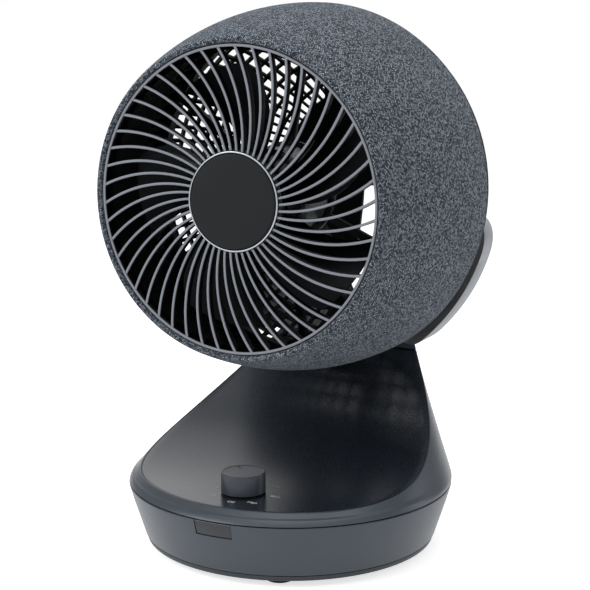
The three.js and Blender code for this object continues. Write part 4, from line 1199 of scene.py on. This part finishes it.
class FAN_OT_cradle(bpy.types.Operator):
    """Cradle that carries the head"""

    bl_idname = "fan.cradle"
    bl_label = "Cradle"

    def yoke(self):
        """The curved arms, swept along a circle behind the head."""
        steps = 144
        section = rounded([(0, 0, 0.06), (1, 0, 0.03), (1, 1, 0.06), (0, 1, 0.06)])
        rows = []
        for k in range(steps + 1):
            ends = []
            for radius, middle, rise in (YOKE_INSIDE, YOKE_OUTSIDE):
                wide = math.asin(rise / radius)
                turn = TAU / 2 - wide + (TAU / 2 + 2 * wide) * k / steps
                low = max(0, (-math.sin(turn) - 0.7) / 0.3)
                if radius == YOKE_OUTSIDE[0]:
                    radius -= YOKE_DRAW_IN * low * low * (3 - 2 * low)
                ends.append(Vector((radius * math.cos(turn), middle + radius * math.sin(turn))))
            left = min(1, min(k, steps - k) / 10)
            narrow = max(0.1, math.sqrt(1 - (1 - left) ** 2))
            row = []
            for across, out in section:
                spot = ends[0].lerp(ends[1], 0.5 + (across - 0.5) * narrow)
                sphere = YOKE_INNER + YOKE_THICK * out
                row.append(by_pivot(spot.x, math.sqrt(sphere * sphere - spot.length_squared), spot.y))
            rows.append(row)
        return make_mesh("yoke_arms", *capped(rows), 40)

    def stem(self):
        """The neck between the pedestal's wall and the arms."""
        steps, stages = 128, 8
        rows = []
        for i in range(stages + 1):
            h = NECK_SEAM + GAP + (NECK_TOP - NECK_SEAM - GAP) * i / stages
            ring = [wall_point(k / steps * TAU, h, 0) for k in range(steps)]
            rows.append([on_base(x, y, WAIST_Z + h) for x, y in ring])
        return make_mesh("cradle_neck", *capped(rows))

    def ball(self):
        """The room that the head turns in."""
        turns = [math.pi * k / 48 for k in range(49)]
        outline = [(YOKE_INNER * math.sin(turn), YOKE_INNER * math.cos(turn)) for turn in turns]
        return turned("ball", outline, round_head, 128)

    def ahead(self):
        """Everything in front of the panel's face."""
        rows = []
        near, far, above = 20, 140, WAIST_Z + 200
        for x in (-200, 200):
            row = [on_base(x, near, above)]
            for k in range(25):
                y = near + (far - near) * k / 24
                row.append(on_base(x, y, WAIST_Z + panel_height(y)))
            row.append(on_base(x, far, above))
            rows.append(row)
        return make_mesh("ahead", *capped(rows))

    def execute(self, context):
        # Satin ABS coloured light grey as painted reflection: the colour stands in for the grazing sheen that
        # shows as a pale line beside the head.
        pale = moulded("light_grey_abs_painted_sheen", colours().cradle, 0.5, None, 0.02)
        dress(self.yoke(), "pedestal", "cradle_plastic", pale, "cradle")
        neck = cut_away(cut_away(self.stem(), self.ball()), self.ahead())
        # The neck is moulded with the pedestal's finish.
        silky = moulded("silky_abs_neck", colours().bowl, 0.36, None, 0.025, 0.1)
        dress(crisp(neck, 30), "pedestal", "cradle_plastic", silky)
        return {"FINISHED"}


class FAN_OT_works(bpy.types.Operator):
    """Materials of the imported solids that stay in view"""

    bl_idname = "fan.works"
    bl_label = "Works"

    def execute(self, context):
        # Zinc plate on steel: a pale, slightly blue shine.
        zinc = rolled_metal("zinc_plated_steel", linear("b9bcc0"), 0.35)
        paint_node(zinc, "swivel_post", "retainer_nut", "tilt_pin", "tilt_nut", "motor_shaft", "swivel_drive")
        # Turned brass, a drawn steel can and sand-cast iron, each with its own colour and dullness.
        paint_node(rolled_metal("turned_brass", linear("b6a268"), 0.35), "switch_nut")
        paint_node(rolled_metal("stamped_steel_can", linear("8d9094"), 0.42), "motor")
        paint_node(moulded("cast_iron_ballast", linear("3a3b3d"), 0.7, 0.0016, 0.12), "ballast_ring")
        # Unfilled nylon: an off-white that looks a little waxy.
        nylon = moulded("natural_nylon", linear("d9d6cc"), 0.45)
        paint_node(nylon, "swivel_gear", "glide_ring", "pinion", "tilt_washer_left", "tilt_washer_right")
        # Glass-epoxy board under green solder mask.
        board = moulded("glass_epoxy_board", linear("24503a"), 0.4, 0.0007, 0.02)
        paint_node(board, "ir_board", "control_board")
        # The guard's ABS again, glossier, for the parts inside.
        dark = moulded("textured_abs_dark", colours().guard, 0.5)
        paint_node(dark, "swivel_pan", "rotary_switch", "tilt_arm", "motor_mount", "spinner_nut")
        return {"FINISHED"}


# ---- stage ----


class FAN_OT_stage(bpy.types.Operator):
    """Floor, plain light and camera"""

    bl_idname = "fan.stage"
    bl_label = "Stage"

    def lamp(self, name, place, size, power):
        """A soft box that faces the fan."""
        light = bpy.data.lights.new(name, "AREA")
        light.shape = "RECTANGLE"
        light.size, light.size_y = size
        light.energy = power
        box = bpy.data.objects.new(name, light)
        box.location = place
        box.rotation_euler = (LAMP_AIM - box.location).to_track_quat("-Z", "Y").to_euler()
        bpy.context.scene.collection.objects.link(box)

    def seen_share(self, tree):
        """One for rays that see the background, nothing for light on the object."""
        path = put(tree, "ShaderNodeLightPath")
        share = path.outputs["Is Camera Ray"]
        for kind in ("Is Glossy Ray", "Is Transmission Ray"):
            either = {0: share, 1: path.outputs[kind]}
            share = put(tree, "ShaderNodeMath", either, operation="MAXIMUM").outputs[0]
        return share

    def painted_floor(self):
        """Matt pale paint that glows to white for rays that see it, and still holds the shadow."""
        material, tree = begin("painted_floor")
        place = put(tree, "ShaderNodeTexCoord").outputs["Object"]
        noise = put(tree, "ShaderNodeTexNoise", {"Vector": place, "Scale": 3.0, "Detail": 2.0})
        even = {"Value": noise.outputs["Fac"], "To Min": 0.85, "To Max": 0.95}
        gloss = put(tree, "ShaderNodeMapRange", even)
        paint = put(
            tree,
            "ShaderNodeBsdfPrincipled",
            {
                "Base Color": tuple(colours().floor),
                "Roughness": gloss.outputs["Result"],
                "Specular IOR Level": 0.1,
            },
        ).outputs[0]
        glow = put(tree, "ShaderNodeEmission", {"Color": (1, 1, 1, 1), "Strength": FLOOR_GLOW})
        both = put(tree, "ShaderNodeAddShader", {0: paint, 1: glow.outputs[0]}).outputs[0]
        shown = put(tree, "ShaderNodeMixShader", {0: self.seen_share(tree), 1: paint, 2: both})
        put(tree, "ShaderNodeOutputMaterial", {"Surface": shown.outputs[0]})
        return material

    def studio(self):
        """Even light from all round, white where it is seen, with a room for the gloss to mirror."""
        world = bpy.data.worlds.new("studio")
        world.use_nodes = True
        tree = world.node_tree
        tree.nodes.clear()
        way = put(tree, "ShaderNodeTexCoord").outputs["Generated"]
        flat = {0: way, 1: (1, 1, 0)}
        level = put(tree, "ShaderNodeVectorMath", flat, operation="MULTIPLY").outputs[0]
        level = put(tree, "ShaderNodeVectorMath", {0: level}, operation="NORMALIZE").outputs[0]
        share = {0: level, 1: BEHIND_FAN}
        share = put(tree, "ShaderNodeVectorMath", share, operation="DOT_PRODUCT").outputs["Value"]
        rise = put(tree, "ShaderNodeSeparateXYZ", {0: way}).outputs[2]
        # The room is white behind the fan, in front of it and overhead, and dim at its sides.
        room = ROOM_SIDES
        for value, low, high in ((share, 0.74, 0.92), (share, -0.15, -0.5), (rise, 0.75, 0.95)):
            part = put(
                tree,
                "ShaderNodeMapRange",
                {"Value": value, "From Min": low, "From Max": high, "To Min": ROOM_SIDES, "To Max": 1.0},
                interpolation_type="SMOOTHSTEP",
            ).outputs[0]
            room = put(tree, "ShaderNodeMath", {0: room, 1: part}, operation="MAXIMUM").outputs[0]
        gloss = {0: put(tree, "ShaderNodeLightPath").outputs["Is Glossy Ray"], 2: 1.0, 3: room}
        gloss = put(tree, "ShaderNodeMix", gloss, data_type="FLOAT").outputs[0]
        strength = {0: self.seen_share(tree), 2: SKY_LEVEL, 3: gloss}
        strength = put(tree, "ShaderNodeMix", strength, data_type="FLOAT").outputs[0]
        sky = put(tree, "ShaderNodeBackground", {"Color": (1, 1, 1, 1), "Strength": strength})
        put(tree, "ShaderNodeOutputWorld", {"Surface": sky.outputs[0]})
        return world

    def execute(self, context):
        scene = context.scene
        half = sizes().floor / 2
        corners = [(-half, -half, 0), (half, -half, 0), (half, half, 0), (-half, half, 0)]
        floor = make_mesh("floor", corners, [(0, 1, 2, 3)])
        floor.data.materials.append(self.painted_floor())
        scene.world = self.studio()
        for lamp in LAMPS:
            self.lamp(*lamp)
        lens = bpy.data.cameras.new("camera")
        lens.sensor_width = 36
        lens.lens = CAMERA_LENS
        camera = bpy.data.objects.new("camera", lens)
        camera.location = on_base(*CAMERA_PLACE)
        aim = on_base(*CAMERA_AIM) - camera.location
        camera.rotation_euler = aim.to_track_quat("-Z", "Y").to_euler()
        scene.collection.objects.link(camera)
        scene.camera = camera
        scene.view_settings.view_transform = "Standard"
        return {"FINISHED"}


PIECES = (
    FAN_OT_stage,
    FAN_OT_duct,
    FAN_OT_fabric,
    FAN_OT_grille,
    FAN_OT_rotor,
    FAN_OT_guard,
    FAN_OT_pedestal,
    FAN_OT_dial,
    FAN_OT_base,
    FAN_OT_cradle,
    FAN_OT_works,
)


class FAN_PT_pieces(bpy.types.Panel):
    """Lists the sizes, the colours and the pieces"""

    bl_idname = "FAN_PT_pieces"
    bl_label = "Air circulator fan"
    bl_space_type = "VIEW_3D"
    bl_region_type = "UI"
    bl_category = "Fan"

    def draw(self, context):
        layout = self.layout
        for group in (context.scene.fan_sizes, context.scene.fan_colours):
            box = layout.box()
            for name in group.bl_rna.properties.keys():
                if name not in ("rna_type", "name"):
                    box.prop(group, name)
        for piece in PIECES:
            layout.operator(piece.bl_idname)


CLASSES = (FanSizes, FanColours, *PIECES, FAN_PT_pieces)


def register():
    for kind in CLASSES:
        bpy.utils.register_class(kind)
    bpy.types.Scene.fan_sizes = bpy.props.PointerProperty(type=FanSizes)
    bpy.types.Scene.fan_colours = bpy.props.PointerProperty(type=FanColours)


def unregister():
    del bpy.types.Scene.fan_colours
    del bpy.types.Scene.fan_sizes
    for kind in reversed(CLASSES):
        bpy.utils.unregister_class(kind)


def main():
    register()
    bpy.ops.fan.stage()
    bpy.ops.fan.duct()
    bpy.ops.fan.fabric()
    bpy.ops.fan.grille()
    bpy.ops.fan.rotor()
    bpy.ops.fan.guard()
    bpy.ops.fan.pedestal()
    bpy.ops.fan.dial()
    bpy.ops.fan.base()
    bpy.ops.fan.cradle()
    bpy.ops.fan.works()


if __name__ == "__main__":
    main()
